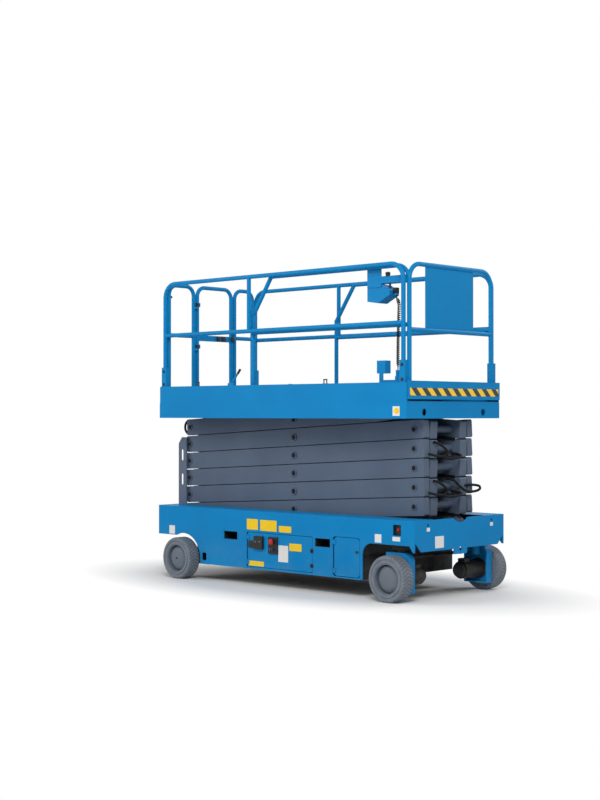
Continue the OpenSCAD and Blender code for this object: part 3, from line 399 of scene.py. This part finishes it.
FINISH = {
    "blue": paint("blue_paint", BLUE, BLUE_DEEP, 0.42, 0.03, 0.35),
    "arm": paint("arm_paint", ARM_GREY, ARM_DARK, 0.42, 0.06, 0.6),
    "wheel": paint("wheel_paint", WHEEL_GREY, srgb(98, 107, 119), 0.46, 0.03, 0.6),
    "ladder": paint("ladder_paint", srgb(96, 108, 126), srgb(80, 92, 110), 0.42, 0.1, 0.7),
    "black": paint("black_paint", BLACK, srgb(22, 22, 25), 0.46, 0.1, 0.7),
    "yellow": paint("yellow_plate", YELLOW, srgb(232, 186, 24), 0.36, 0.1, 0.5),
    "white": paint("white_plate", srgb(232, 232, 228), srgb(214, 214, 210), 0.36, 0.1, 0.5),
    "red": paint("red_button", srgb(196, 30, 34), srgb(170, 22, 28), 0.3, 0.3, 0.2),
    "tyre_front": tread_rubber("front_tyre_rubber", FRONT_WHEEL_X),
    "tyre_rear": tread_rubber("rear_tyre_rubber", REAR_WHEEL_X),
    "hose": rubber("hose_rubber", srgb(14, 15, 18), srgb(26, 27, 30)),
    "plastic": plastic("black_plastic", srgb(28, 28, 30), srgb(40, 40, 43), 0.42),
    "chrome": bare_steel("rod_chrome", srgb(215, 218, 222), 0.1),
    "steel": bare_steel("pin_steel", srgb(120, 124, 130), 0.36),
    "dark_steel": bare_steel("dark_steel", srgb(62, 64, 70), 0.42),
    # Near-black pin finish: partly the dark keepers and bolts, partly painted shade of the pin holes.
    "pin": plastic("pin_black", srgb(8, 10, 16), srgb(16, 18, 24), 0.6),
    "deck": tread_plate("deck_plate"),
    "deck_frame": deck_paint("deck_frame_paint"),
    "stripe": hazard("hazard_stripe"),
}

SLOT_FINISH = {
    "blue_paint": "blue",
    "arm_paint": "arm",
    "wheel_paint": "wheel",
    "black_paint": "black",
    "ladder_paint": "ladder",
    "rod_chrome": "chrome",
    "tyre": "tyre",
    "black_plastic": "plastic",
    "box_plastic": "blue",
    "battery": "plastic",
    "cord": "hose",
}


def dress_cad():
    """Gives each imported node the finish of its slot."""
    for part in frame["record"]["subparts"]:
        mesh = nodes[part["node"]].data
        mesh.materials.clear()
        finish = SLOT_FINISH[part["material_slot"]]
        if finish == "tyre":
            finish = "tyre_front" if "front" in part["node"] else "tyre_rear"
        if part["node"] == "platform_deck":
            finish = "deck_frame"
        mesh.materials.append(FINISH[finish])


# Shapes

SMOOTH_BELOW = math.radians(35)
SEAT = 0.0001
SKIN = 0.0012
PLATE_EASE = 0.0004
WASHER_R = 0.72
WASHER_TALL = 0.3


def slab(bm, low, high, ease=0.0):
    """A box between two corners, with eased edges."""
    low, high = Vector(low), Vector(high)
    place = Matrix.Translation((low + high) / 2) @ Matrix.Diagonal((*(high - low), 1))
    made = bmesh.ops.create_cube(bm, size=1, matrix=place)
    if ease:
        edges = list({e for v in made["verts"] for e in v.link_edges})
        bmesh.ops.bevel(
            bm, geom=edges, offset=ease, affect="EDGES", segments=2, profile=0.5, material=-1
        )


def facing(at, axis):
    """Turns +Z to an axis and moves the origin to a point."""
    return Matrix.Translation(at) @ Vector(axis).to_track_quat("Z", "Y").to_matrix().to_4x4()


def add_to(bm, part):
    """Adds a finished bmesh to another."""
    mesh = bpy.data.meshes.new("part")
    part.to_mesh(mesh)
    part.free()
    bm.from_mesh(mesh)
    bpy.data.meshes.remove(mesh)


def turned(bm, at, axis, outline, steps=32):
    """A closed lathe shape: (radius, height) points round an axis."""
    part = bmesh.new()
    if outline[0][0] > 0:
        outline = outline + [outline[0]]
    elif outline[-1][0] > 0:
        outline = outline + [(0, outline[-1][1])]
    points = [part.verts.new((radius, 0, height)) for radius, height in outline]
    edges = [part.edges.new(pair) for pair in zip(points, points[1:])]
    bmesh.ops.spin(
        part, geom=points + edges, axis=(0, 0, 1), angle=math.tau, steps=steps, use_merge=True
    )
    bmesh.ops.remove_doubles(part, verts=part.verts, dist=1e-6)
    bmesh.ops.recalc_face_normals(part, faces=part.faces)
    bmesh.ops.transform(part, matrix=facing(at, axis), verts=part.verts)
    add_to(bm, part)


def drum(bm, place, radius, depth, sides):
    """A capped cylinder or prism round a place."""
    bmesh.ops.create_cone(
        bm, cap_ends=True, segments=sides, radius1=radius, radius2=radius, depth=depth, matrix=place
    )


def nut(bm, at, axis, across, tall):
    """A hexagon head on its washer."""
    place = facing(at, axis)
    washer = tall * WASHER_TALL
    drum(bm, place @ Matrix.Translation((0, 0, washer / 2)), across * WASHER_R, washer, 24)
    middle = (washer + tall) / 2
    drum(bm, place @ Matrix.Translation((0, 0, middle)), across / 2, tall - washer, 6)


def rod(bm, start, end, thick):
    """A round bar between two points."""
    start, end = Vector(start), Vector(end)
    drum(bm, facing((start + end) / 2, end - start), thick / 2, (end - start).length, 16)


def piece(name, bm, finish, body, smooth=False):
    """Makes a bmesh a piece that rides on a body."""
    mesh = bpy.data.meshes.new(name)
    bm.to_mesh(mesh)
    bm.free()
    mesh.materials.append(FINISH[finish])
    if smooth:
        mesh.shade_smooth()
        mesh.set_sharp_from_angle(angle=SMOOTH_BELOW)
    made = bpy.data.objects.new(name, mesh)
    scene.collection.objects.link(made)
    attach(made, body)


def slab_piece(name, low, high, ease, finish, body):
    """A piece of one box."""
    shape = bmesh.new()
    slab(shape, low, high, ease)
    piece(name, shape, finish, body)


def turned_piece(name, at, axis, outline, finish, body, steps=32, smooth=True):
    """A piece of one lathe shape."""
    shape = bmesh.new()
    turned(shape, at, axis, outline, steps)
    piece(name, shape, finish, body, smooth)


SIDES = {"right": -1, "left": 1}
UP = (0, 0, 1)
RIGHT = (0, -1, 0)

# Control cord

CABLE_D = 0.009
COIL_R = 0.0105
COIL_PITCH = 0.016
COIL_POINTS = 14
COIL_START = 0.02
COIL_GROWTH = 0.03
CORD_STEPS = 40
GLAND = Vector((1.243, -0.4657, 2.4977))
PLUG = Vector((1.300, -0.510, 1.8803))
CORD_SHARES = [
    (0, 0, 0), (0, 0, 0.02), (0.35, 0.05, 0.06), (0.73, 0.25, 0.12), (0.9, 0.5, 0.2),
    (0.97, 0.7, 0.3), (1, 0.83, 0.42), (1, 0.92, 0.55), (1, 0.97, 0.7), (1, 1, 0.85), (1, 1, 1),
]


def smooth_route(points, steps):
    """Points along a smooth line through the route."""
    route = [Vector(p) for p in points]
    route = [route[0] * 2 - route[1]] + route + [route[-1] * 2 - route[-2]]
    line = []
    for a, b, c, d in zip(route, route[1:], route[2:], route[3:]):
        slope = c - a
        bend = 2 * a - 5 * b + 4 * c - d
        twist = 3 * b - a - 3 * c + d
        for i in range(steps):
            t = i / steps
            line.append(0.5 * (2 * b + slope * t + bend * t * t + twist * t ** 3))
    return line + [route[-2]]


def hose(name, points, thick, body):
    """A round rubber hose along points, riding on a body."""
    data = bpy.data.curves.new(name, "CURVE")
    data.dimensions = "3D"
    data.bevel_depth = thick / 2
    data.bevel_resolution = 2
    data.use_fill_caps = True
    spline = data.splines.new("POLY")
    spline.points.add(len(points) - 1)
    for target, point in zip(spline.points, points):
        target.co = (*point, 1)
    data.materials.append(FINISH["hose"])
    made = bpy.data.objects.new(name, data)
    scene.collection.objects.link(made)
    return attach(made, body)


def coil_points(line):
    """Points of a coil round a line; its radius grows from both ends."""
    reach = [0.0]
    for a, b in zip(line, line[1:]):
        reach.append(reach[-1] + (b - a).length)
    total = reach[-1]
    count = int(total / COIL_PITCH * COIL_POINTS)
    points = []
    spot = 0
    for i in range(count + 1):
        far = total * i / count
        while spot < len(line) - 2 and reach[spot + 1] < far:
            spot += 1
        along = (line[spot + 1] - line[spot]).normalized()
        part = (far - reach[spot]) / max(reach[spot + 1] - reach[spot], 1e-9)
        centre = line[spot].lerp(line[spot + 1], part)
        side = along.cross(Vector((0, 1, 0))).normalized()
        other = along.cross(side)
        ends = min(far, total - far)
        grow = min(max((ends - COIL_START) / COIL_GROWTH, 0.0), 1.0)
        turn = math.tau * far / COIL_PITCH
        points.append(centre + (side * math.cos(turn) + other * math.sin(turn)) * COIL_R * grow)
    return points


def add_control_cord():
    """A curly cable between the control box and its socket box."""
    route = [GLAND + Vector(share) * (PLUG - GLAND) for share in CORD_SHARES]
    points = coil_points(smooth_route(route, CORD_STEPS))
    length = sum((b - a).length for a, b in zip(points, points[1:]))
    cable = hose("control_cable", points, CABLE_D, "roll_out")
    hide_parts("control_cord")


# Wheels

HUB_FACE = 0.0453
DISC_FACE = 0.0124
HUB_R = 0.0602
DOME = [
    (0, HUB_FACE), (HUB_R, HUB_FACE), (HUB_R, DISC_FACE), (0.116, DISC_FACE), (0.117, 0.016),
    (0.112, 0.026), (0.098, 0.038), (0.078, 0.047), (0.05, 0.053), (0, 0.056),
]
HUB_DOT = [(0, 0.0595), (0.007, 0.0595), (0.0085, 0.0575), (0.0085, 0.0562), (0, 0.0562)]


def add_wheel_trim():
    """Smooth domes on the wheel discs, with a dark centre bolt on the rear ones."""
    for end, x in (("front", FRONT_WHEEL_X), ("rear", REAR_WHEEL_X)):
        for side, out in SIDES.items():
            centre = (x, out * WHEEL_Y, WHEEL_Z)
            axle = (0, out, 0)
            wheel = f"wheel_{end}_{side}"
            turned_piece(f"hub_dome_{end}_{side}", centre, axle, DOME, "wheel", wheel, 48)
            if end == "rear":
                turned_piece(f"hub_dot_{side}", centre, axle, HUB_DOT, "pin", wheel, 24)


# Scissor stack

LEVELS = 6
REAR_PIN_X, _, BASE_PIN_Z = hinge_at["lift"]
MID_PIN_X = hinge_at["mid_pin_1"][0]
FRONT_PIN_X = 2 * MID_PIN_X - REAR_PIN_X
LEVEL_RISE = hinge_at["rear_pin_1"][2] - BASE_PIN_Z
PIN_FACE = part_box("inner_arms_1")[1].y
MID_HEAD_R = 0.024
END_HEAD_R = 0.021
KEEPER_TALL = 0.002
HEAD_TALL = 0.005
HEAD_SHARE = 0.9


def pin_z(level):
    """Height of the end pins on top of a level; 0 gives the lowest pins."""
    return BASE_PIN_Z + level * LEVEL_RISE


def add_pin_heads():
    """Dark keeper plate and bolt on each pin's cap; their near-black colour is partly painted shade of the dark
    pin holes.
    """
    for level in range(1, LEVELS + 1):
        low = pin_z(level - 1)
        spots = [(MID_PIN_X, low + LEVEL_RISE / 2, MID_HEAD_R)]
        if level > 1:
            spots.append((FRONT_PIN_X, low, END_HEAD_R))
        if level < LEVELS:
            spots.append((REAR_PIN_X, low + LEVEL_RISE, END_HEAD_R))
        heads = bmesh.new()
        for x, z, radius in spots:
            inner = radius * HEAD_SHARE
            keeper = [(0, KEEPER_TALL), (inner, KEEPER_TALL), (radius, 0.0)]
            for out in SIDES.values():
                turned(heads, (x, out * (PIN_FACE + SEAT), z), (0, out, 0), keeper)
                nut(heads, (x, out * (PIN_FACE + KEEPER_TALL), z), (0, out, 0), inner, HEAD_TALL)
        piece(f"pin_heads_{level}", heads, "pin", f"inner_{level}", smooth=True)


# Hoses; a front hose is given by offsets from the front pins in X and Z, and by its place in Y

HOSE_D = 0.022
LINE_Y = 0.138
LINE_LIFT = 0.0797
LINE_SHARES = (-0.02, 0.25, 0.5, 0.75, 1.01)
LOOP_STEPS = 24
REAR_LOOP_RADII = {1: 0.038, 3: 0.038, 5: 0.066}
REAR_LOOP_X = REAR_PIN_X - 0.044
REAR_LOOP_Y = -0.292
REAR_LOOP_TURN = (70, 290)
BOW_LEVELS = (2, 4)
FRONT_BOW = [
    (0.102, -0.21, 0.052), (0.132, -0.20, 0.05), (0.148, -0.14, 0.022), (0.146, -0.075, -0.024),
    (0.143, -0.11, -0.06), (0.143, -0.20, -0.06), (0.142, -0.27, -0.048), (0.128, -0.298, -0.042),
]
FRONT_CROSS = [
    (0.03, -0.13, -0.04), (0.12, -0.14, -0.06), (0.143, -0.10, -0.075), (0.145, 0.0, -0.08),
    (0.143, 0.10, -0.075), (0.12, 0.14, -0.06), (0.03, 0.13, -0.04),
]
FRONT_SIDE = [
    (0.03, 0.06, 0.06), (0.10, 0.075, 0.05), (0.135, 0.13, -0.01), (0.14, 0.21, -0.045),
    (0.145, 0.30, -0.05), (0.155, 0.36, -0.035), (0.145, 0.375, -0.01), (0.13, 0.33, 0.002),
    (0.12, 0.27, 0.004), (0.09, 0.2, 0.0),
]


def loop_route(x, y, z, radius, start, end):
    """Points on an arc in X and Z, in degrees from +X towards +Z."""
    step = (end - start) / LOOP_STEPS
    turns = [math.radians(start + step * i) for i in range(LOOP_STEPS + 1)]
    return [Vector((x + radius * math.cos(t), y, z + radius * math.sin(t))) for t in turns]


def add_arm_lines():
    """Hoses clipped inside the inner arms, along their upper edges."""
    along = Vector((REAR_PIN_X - FRONT_PIN_X, 0, LEVEL_RISE))
    lift = Vector((LEVEL_RISE, 0, FRONT_PIN_X - REAR_PIN_X)).normalized() * LINE_LIFT
    for level in range(1, LEVELS):
        foot = Vector((FRONT_PIN_X, 0, pin_z(level - 1))) + lift
        for side, out in SIDES.items():
            shift = Vector((0, out * LINE_Y, 0))
            points = [foot + shift + along * share for share in LINE_SHARES]
            hose(f"arm_line_{level}_{side}", points, HOSE_D, f"inner_{level}")


def front_hose(name, level, offsets, steps):
    """A hose in front of the pins on top of a level, clamped to the inner arms above them."""
    route = [(FRONT_PIN_X + x, y, pin_z(level) + z) for x, y, z in offsets]
    hose(name, smooth_route(route, steps), HOSE_D, f"inner_{level + 1}")


def add_hoses():
    """Hose loops at the arm ends, each clamped to its own arm."""
    for level, radius in REAR_LOOP_RADII.items():
        points = loop_route(REAR_LOOP_X, REAR_LOOP_Y, pin_z(level), radius, *REAR_LOOP_TURN)
        hose(f"rear_hose_{level}", points, HOSE_D, f"outer_{level + 1}")
    for level in BOW_LEVELS:
        front_hose(f"front_bow_{level}", level, FRONT_BOW, 10)
        front_hose(f"front_cross_{level}", level, FRONT_CROSS, 12)
    front_hose("front_side_hose", BOW_LEVELS[0], FRONT_SIDE, 10)


# Chassis; a plate on a side is (rear, front, low, high), one on the front (right, left, low, high)

PANEL_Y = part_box("side_panel_left")[1].y
FRONT_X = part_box("front_cover")[1].x
YELLOW_PLATES = [
    (-0.361, -0.223, 0.497, 0.591), (-0.193, 0.008, 0.494, 0.589), (0.037, 0.184, 0.493, 0.548),
]
WHITE_PLATES = [
    (-1.400, -1.322, 0.400, 0.479), (1.133, 1.203, 0.471, 0.540), (1.321, 1.402, 0.493, 0.528),
]
DOOR_YELLOW = [(0.163, 0.307, 0.339, 0.403), (-0.340, -0.148, 0.178, 0.222)]
DOOR_WHITE = [(0.030, 0.148, 0.235, 0.379)]
FRONT_PLATES = [
    (-0.342, -0.228, 0.430, 0.526), (-0.45, -0.41, 0.572, 0.602), (0.41, 0.45, 0.572, 0.602),
]

LATCH_X = 0.428
LATCH_HEIGHTS = (0.355, 0.228)
LATCH_BAR = (0.003, 0.003, 0.012)
LATCH_BAR_OUT = 0.010
LATCH = [(0, 0.008), (0.012, 0.008), (0.018, 0.005), (0.019, 0.0)]
HALF_SUNK = 0.004
ACCESS_PULL = (0.922, 0.954, 0.366, 0.386)
PULL_EASE = 0.003
CHARGE_RECESS = (1.320, 1.416, 0.530, 0.632)
RECESS_Y = 0.580
CHARGE_SOCKET_X = 1.368
CHARGE_SOCKET_Z = 0.585
CHARGE_SOCKET = [(0, 0.012), (0.009, 0.011), (0.012, 0.006), (0.012, 0.0)]


def side_plates(name, spots, finish, body):
    """Thin plates on the right side's face."""
    plates = bmesh.new()
    for x0, x1, z0, z1 in spots:
        slab(plates, (x0, -PANEL_Y - SKIN, z0), (x1, -PANEL_Y - SEAT, z1), PLATE_EASE)
    piece(name, plates, finish, body)


def half_sunk_block(name, spot, y, ease, body):
    """A plastic block of which half stands out of a side face at y."""
    x0, x1, z0, z1 = spot
    slab_piece(name, (x0, y - HALF_SUNK, z0), (x1, y + HALF_SUNK, z1), ease, "plastic", body)


def add_chassis_trim():
    """Blank plates and signs, door latches and charge sockets."""
    side_plates("yellow_plates", YELLOW_PLATES, "yellow", "chassis")
    side_plates("white_plates", WHITE_PLATES, "white", "chassis")
    side_plates("door_yellow_plates", DOOR_YELLOW, "yellow", "tray_door_right")
    side_plates("door_white_plate", DOOR_WHITE, "white", "tray_door_right")
    front = bmesh.new()
    for y0, y1, z0, z1 in FRONT_PLATES:
        slab(front, (FRONT_X + SEAT, y0, z0), (FRONT_X + SKIN, y1, z1), PLATE_EASE)
    piece("front_plates", front, "white", "chassis")
    half_bar = Vector(LATCH_BAR)
    for side, out in SIDES.items():
        outward = (0, out, 0)
        latch = bmesh.new()
        for z in LATCH_HEIGHTS:
            turned(latch, (LATCH_X, out * PANEL_Y, z), outward, LATCH)
            middle = Vector((LATCH_X, out * (PANEL_Y + LATCH_BAR_OUT), z))
            slab(latch, middle - half_bar, middle + half_bar)
        piece(f"tray_latches_{side}", latch, "plastic", f"tray_door_{side}", smooth=True)
        door = f"access_door_{side}"
        half_sunk_block(f"access_latch_{side}", ACCESS_PULL, out * PANEL_Y, PULL_EASE, door)
        half_sunk_block(f"charge_recess_{side}", CHARGE_RECESS, out * RECESS_Y, 0.0, "chassis")
        at = (CHARGE_SOCKET_X, out * (RECESS_Y + HALF_SUNK), CHARGE_SOCKET_Z)
        turned_piece(f"charge_socket_{side}", at, outward, CHARGE_SOCKET, "red", "chassis")


# Ground controls, on the right tray door

STOP_AT = (-0.030, -PANEL_Y - 0.034, 0.405)
STOP_BUTTON = [
    (0, 0.010), (0.016, 0.009), (0.024, 0.005), (0.026, 0.0), (0.020, -0.004), (0.012, -0.006),
]
KEY_AT = (-0.030, -PANEL_Y - 0.026, 0.340)
KEY_BARREL = [(0, 0.002), (0.009, 0.002), (0.012, 0.0)]
KEY_LOW = (-0.0325, -PANEL_Y - 0.052, 0.330)
KEY_HIGH = (-0.0275, -PANEL_Y - 0.028, 0.352)
KEY_EASE = 0.001
TOGGLE = [(0, 0.022), (0.004, 0.021), (0.004, 0.004), (0.009, 0.003), (0.009, 0.0)]
GROUND_TOGGLES = [(-0.228, -PANEL_Y - 0.024, 0.395), (-0.176, -PANEL_Y - 0.024, 0.395)]


def add_ground_controls():
    """Stop button, key and toggles."""
    turned_piece("ground_stop_button", STOP_AT, RIGHT, STOP_BUTTON, "red", "tray_door_right")
    key = bmesh.new()
    turned(key, KEY_AT, RIGHT, KEY_BARREL)
    slab(key, KEY_LOW, KEY_HIGH, KEY_EASE)
    piece("ground_key", key, "steel", "tray_door_right", smooth=True)
    toggles = bmesh.new()
    for at in GROUND_TOGGLES:
        turned(toggles, at, RIGHT, TOGGLE)
    piece("ground_toggles", toggles, "steel", "tray_door_right", smooth=True)


# Platform

DECK_FRONT_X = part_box("roll_out_deck")[1].x
STRIPE_HALF = 0.6
STRIPE_LOW = 1.670
STRIPE_HIGH = 1.732
ROLL_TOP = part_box("roll_out_rails")[0].z
ROLL_SHEET = (-0.405, 1.45, 0.53)
MAIN_SHEET = (-1.43, -0.42, 0.57)
SHEET_THICK = 0.0025
SHEET_EASE = 0.001
SKIRT_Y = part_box("platform_skirts")[1].y
SKIRT_PLATE = (1.345, 1.418, 1.506, 1.583)
SKIRT_SIGN_AT = (1.388, -SKIRT_Y - SKIN, 1.546)
SKIRT_SIGN = [(0, 0.0006), (0.026, 0.0006), (0.026, 0.0)]

BOLT_XS = (-1.47, 1.43)
BOLT_ZS = (1.80, 1.92)
BOLT_ACROSS = 0.02
BOLT_IN_Y, BOLT_IN_TALL = 0.576, 0.0035
BOLT_OUT_Y, BOLT_OUT_TALL = 0.617, 0.008

LANYARD_XS = (-1.0, 0.59)
LANYARD_Y = 0.612
LANYARD_BLOCK = (0.03, 0.006, 1.70, 1.78)
LANYARD_EASE = 0.002
RING_D = 0.010
RING_LOW = 1.776
RING_TOP = 1.812
RING_LEG = 0.016
RING_HALF = 0.021

LOCK_Y = -0.607
LOCK_LOW = (-0.60, -0.618, 1.745)
LOCK_HIGH = (-0.53, -0.597, 1.80)
LOCK_EASE = 0.003
LEVER_ENDS = ((-0.56, LOCK_Y, 1.79), (-0.475, LOCK_Y, 1.887))
LEVER_D = 0.017
GRIP_ENDS = ((-0.478, LOCK_Y, 1.8835), (-0.447, LOCK_Y, 1.919))
GRIP_D = 0.022


def tread_sheet(name, sheet, top, body):
    """A sheet of tread plate on a deck: (rear, front, half width)."""
    rear, front, half = sheet
    low, high = (rear, -half, top + SEAT), (front, half, top + SHEET_THICK)
    slab_piece(name, low, high, SHEET_EASE, "deck", body)


def add_deck_trim():
    """Toe board stripe, tread sheets and the skirt's plate with a blank sign."""
    low = (DECK_FRONT_X + SEAT, -STRIPE_HALF, STRIPE_LOW)
    high = (DECK_FRONT_X + SKIN, STRIPE_HALF, STRIPE_HIGH)
    slab_piece("toe_stripe", low, high, PLATE_EASE, "stripe", "roll_out")
    tread_sheet("roll_out_tread", ROLL_SHEET, ROLL_TOP, "roll_out")
    tread_sheet("main_deck_tread", MAIN_SHEET, DECK_TOP, "platform")
    x0, x1, z0, z1 = SKIRT_PLATE
    low, high = (x0, -SKIRT_Y - SKIN, z0), (x1, -SKIRT_Y - SEAT, z1)
    slab_piece("skirt_plate", low, high, PLATE_EASE, "white", "platform")
    turned_piece("skirt_sign", SKIRT_SIGN_AT, RIGHT, SKIRT_SIGN, "yellow", "platform", smooth=False)


def add_rail_bolts():
    """Bolt heads inside and nuts outside the rails' feet."""
    bolts = bmesh.new()
    for x in BOLT_XS:
        for out in SIDES.values():
            for z in BOLT_ZS:
                nut(bolts, (x, out * BOLT_IN_Y, z), (0, -out, 0), BOLT_ACROSS, BOLT_IN_TALL)
                nut(bolts, (x, out * BOLT_OUT_Y, z), (0, out, 0), BOLT_ACROSS, BOLT_OUT_TALL)
    piece("rail_foot_bolts", bolts, "dark_steel", "platform")


def add_lanyard_points():
    """A block with a bent ring at each lanyard point."""
    rings = bmesh.new()
    half_x, half_y, low, high = LANYARD_BLOCK
    for x in LANYARD_XS:
        for out in SIDES.values():
            y = out * LANYARD_Y
            block_low, block_high = (x - half_x, y - half_y, low), (x + half_x, y + half_y, high)
            slab(rings, block_low, block_high, LANYARD_EASE)
            for leg in (x - RING_LEG, x + RING_LEG):
                rod(rings, (leg, y, RING_LOW), (leg, y, RING_TOP), RING_D)
            rod(rings, (x - RING_HALF, y, RING_TOP), (x + RING_HALF, y, RING_TOP), RING_D)
    piece("lanyard_points", rings, "dark_steel", "platform", smooth=True)


def add_deck_lock():
    """The roll-out's lock lever on the right rail's foot, with its grip."""
    lock = bmesh.new()
    slab(lock, LOCK_LOW, LOCK_HIGH, LOCK_EASE)
    rod(lock, *LEVER_ENDS, LEVER_D)
    piece("deck_lock_lever", lock, "blue", "platform", smooth=True)
    grip = bmesh.new()
    rod(grip, *GRIP_ENDS, GRIP_D)
    piece("deck_lock_grip", grip, "plastic", "platform", smooth=True)


# Gate

LATCH_CASE = ((-1.447, 0.238, 2.232), (-1.432, 0.276, 2.276))
LATCH_CASE_EASE = 0.004
LATCH_BLOCKS = [
    ((-1.4551, 0.05, 2.228), (-1.441, 0.09, 2.278)),
    ((-1.4551, 0.115, 2.228), (-1.441, 0.165, 2.278)),
]
LATCH_BLOCK_EASE = 0.003
LATCH_KNOB_AT = (-1.44, 0.257, 2.276)
LATCH_KNOB = [(0, 0.03), (0.006, 0.028), (0.007, 0.012), (0.007, 0.0)]
HINGE_BOLT_X = -1.434
HINGE_BOLT_Y = -0.2
HINGE_BOLT_ZS = (2.161, 2.179, 2.561, 2.579)
HINGE_BOLT_ACROSS = 0.010
HINGE_BOLT_TALL = 0.006
GATE_HINGE_X, GATE_HINGE_Y, _ = hinge_at["gate_hinge"]
SLEEVE_ZS = (2.153, 2.553)
SLEEVE = [(0.0131, 0.0), (0.0138, 0.0), (0.0138, 0.034), (0.0131, 0.034)]
PIN_KNOB_AT = (-1.47, -0.5342, 2.628)
PIN_KNOB = [(0, 0.018), (0.009, 0.017), (0.012, 0.012), (0.012, 0.0)]


def add_gate_trim():
    """The gate's latch, hinge bolts and sleeves, and the knob of a rail pin beside it."""
    latch = bmesh.new()
    slab(latch, *LATCH_CASE, LATCH_CASE_EASE)
    for low, high in LATCH_BLOCKS:
        slab(latch, low, high, LATCH_BLOCK_EASE)
    turned(latch, LATCH_KNOB_AT, UP, LATCH_KNOB)
    piece("gate_latch", latch, "plastic", "gate", smooth=True)
    bolts = bmesh.new()
    for z in HINGE_BOLT_ZS:
        at = (HINGE_BOLT_X, HINGE_BOLT_Y, z)
        nut(bolts, at, (1, 0, 0), HINGE_BOLT_ACROSS, HINGE_BOLT_TALL)
    piece("gate_hinge_bolts", bolts, "dark_steel", "gate")
    sleeves = bmesh.new()
    for z in SLEEVE_ZS:
        turned(sleeves, (GATE_HINGE_X, GATE_HINGE_Y, z), UP, SLEEVE)
    piece("gate_hinge_sleeves", sleeves, "plastic", "gate", smooth=True)
    turned_piece("rail_pin_knob", PIN_KNOB_AT, (0, 1, 0), PIN_KNOB, "plastic", "platform")


# Control box

BOX_TOP = 2.586
BOX_MID_Y = -0.4657
BOX_STOP_X = 1.025
RED_STOP = [
    (0, 0.03), (0.014, 0.029), (0.02, 0.024), (0.02, 0.018), (0.012, 0.014), (0.012, 0.0),
]
PANEL_REAR = 1.06
PANEL_FRONT = 1.13
PANEL_HALF = 0.04
PANEL_THICK = 0.003
PANEL_EASE = 0.001
PANEL_TOGGLE_XS = (1.078, 1.112)
KNOB_AT = (1.21, -0.5297, 2.653)
KNOB = [
    (0, 0.0245), (0.0184, 0.0245), (0.0184, 0.0005), (0.0195, 0.0005), (0.0195, 0.014),
    (0.022, 0.02), (0.021, 0.027), (0.012, 0.033), (0, 0.034),
]
STICK_AT = (1.18, BOX_MID_Y, 2.571)
STICK = [
    (0, 0.075), (0.013, 0.072), (0.018, 0.06), (0.015, 0.048), (0.008, 0.04), (0.009, 0.004),
    (0.0118, 0.0),
]
GLAND_LOW = (1.2245, -0.487, 2.5125)
GLAND_HIGH = (1.2612, -0.4444, 2.559)
GLAND_EASE = 0.003


def add_control_box_trim():
    """Stop button, panel with toggles, knob and joystick, and the cord's gland."""
    stop_at = (BOX_STOP_X, BOX_MID_Y, BOX_TOP)
    turned_piece("platform_stop_button", stop_at, UP, RED_STOP, "red", "roll_out")
    panel_top = BOX_TOP + PANEL_THICK
    low = (PANEL_REAR, BOX_MID_Y - PANEL_HALF, BOX_TOP + SEAT)
    high = (PANEL_FRONT, BOX_MID_Y + PANEL_HALF, panel_top)
    panel = bmesh.new()
    slab(panel, low, high, PANEL_EASE)
    for x in PANEL_TOGGLE_XS:
        turned(panel, (x, BOX_MID_Y, panel_top), UP, TOGGLE)
    turned(panel, KNOB_AT, UP, KNOB)
    turned(panel, STICK_AT, UP, STICK)
    piece("control_panel", panel, "plastic", "roll_out", smooth=True)
    slab_piece("cord_gland_cover", GLAND_LOW, GLAND_HIGH, GLAND_EASE, "plastic", "roll_out")


# Floor and light

FLOOR_SIZE = 120
WHITE = (1.0, 1.0, 1.0)
PALE = (0.86, 0.86, 0.86)
FLOOR_REACH = (1.8, 0.95)
FLOOR_FADE = 0.6
SOFT_LIGHT = 0.38
LAMP_AIM = Vector((0, 0, 1.3))
LAMPS = [
    ("key", (6.4, -7.0, 7.0), 4.0, 560),
    ("fill", (-6.0, -7.0, 4.5), 5.0, 220),
    ("rim", (3.0, 8.0, 6.5), 4.0, 250),
]


def add_floor():
    """A pale floor that keeps the shadow and turns white away from the object."""
    bpy.ops.mesh.primitive_plane_add(size=FLOOR_SIZE)
    floor = bpy.context.object
    floor.name = "floor"
    s = start_finish("pale_floor")
    floor.data.materials.append(s.finish(Base_Color=PALE, Roughness=0.9, Specular_IOR_Level=0.0))
    x, y = s.axes()[:2]
    away = s.length(x / FLOOR_REACH[0], y / FLOOR_REACH[1])
    fade = ((away - 1.0) / FLOOR_FADE).clamped() * s.seen()
    s.show_mixed(fade, s.node("ShaderNodeEmission", {}, {"Color": WHITE, "Strength": 1.0}))


def add_lamp(name, at, size, watts):
    data = bpy.data.lights.new(name, "AREA")
    data.shape = "DISK"
    data.size = size
    data.energy = watts
    lamp = bpy.data.objects.new(name, data)
    scene.collection.objects.link(lamp)
    lamp.location = at
    lamp.rotation_euler = aim(LAMP_AIM - Vector(at))


def add_light():
    """Soft light from all sides, a white background and three lamps."""
    scene.world = bpy.data.worlds.new("studio")
    s = Shader(scene.world, "Background", "World Output")
    s.finish(Color=WHITE, Strength=SOFT_LIGHT)
    s.show_mixed(s.seen(), s.node("ShaderNodeBackground", {}, {"Color": WHITE, "Strength": 1.0}))
    for lamp in LAMPS:
        add_lamp(*lamp)


add_camera()
add_control_cord()
dress_cad()
add_wheel_trim()
add_pin_heads()
add_arm_lines()
add_hoses()
add_chassis_trim()
add_ground_controls()
add_deck_trim()
add_rail_bolts()
add_lanyard_points()
add_deck_lock()
add_gate_trim()
add_control_box_trim()
add_floor()
add_light()
scene.view_settings.view_transform = "Standard"
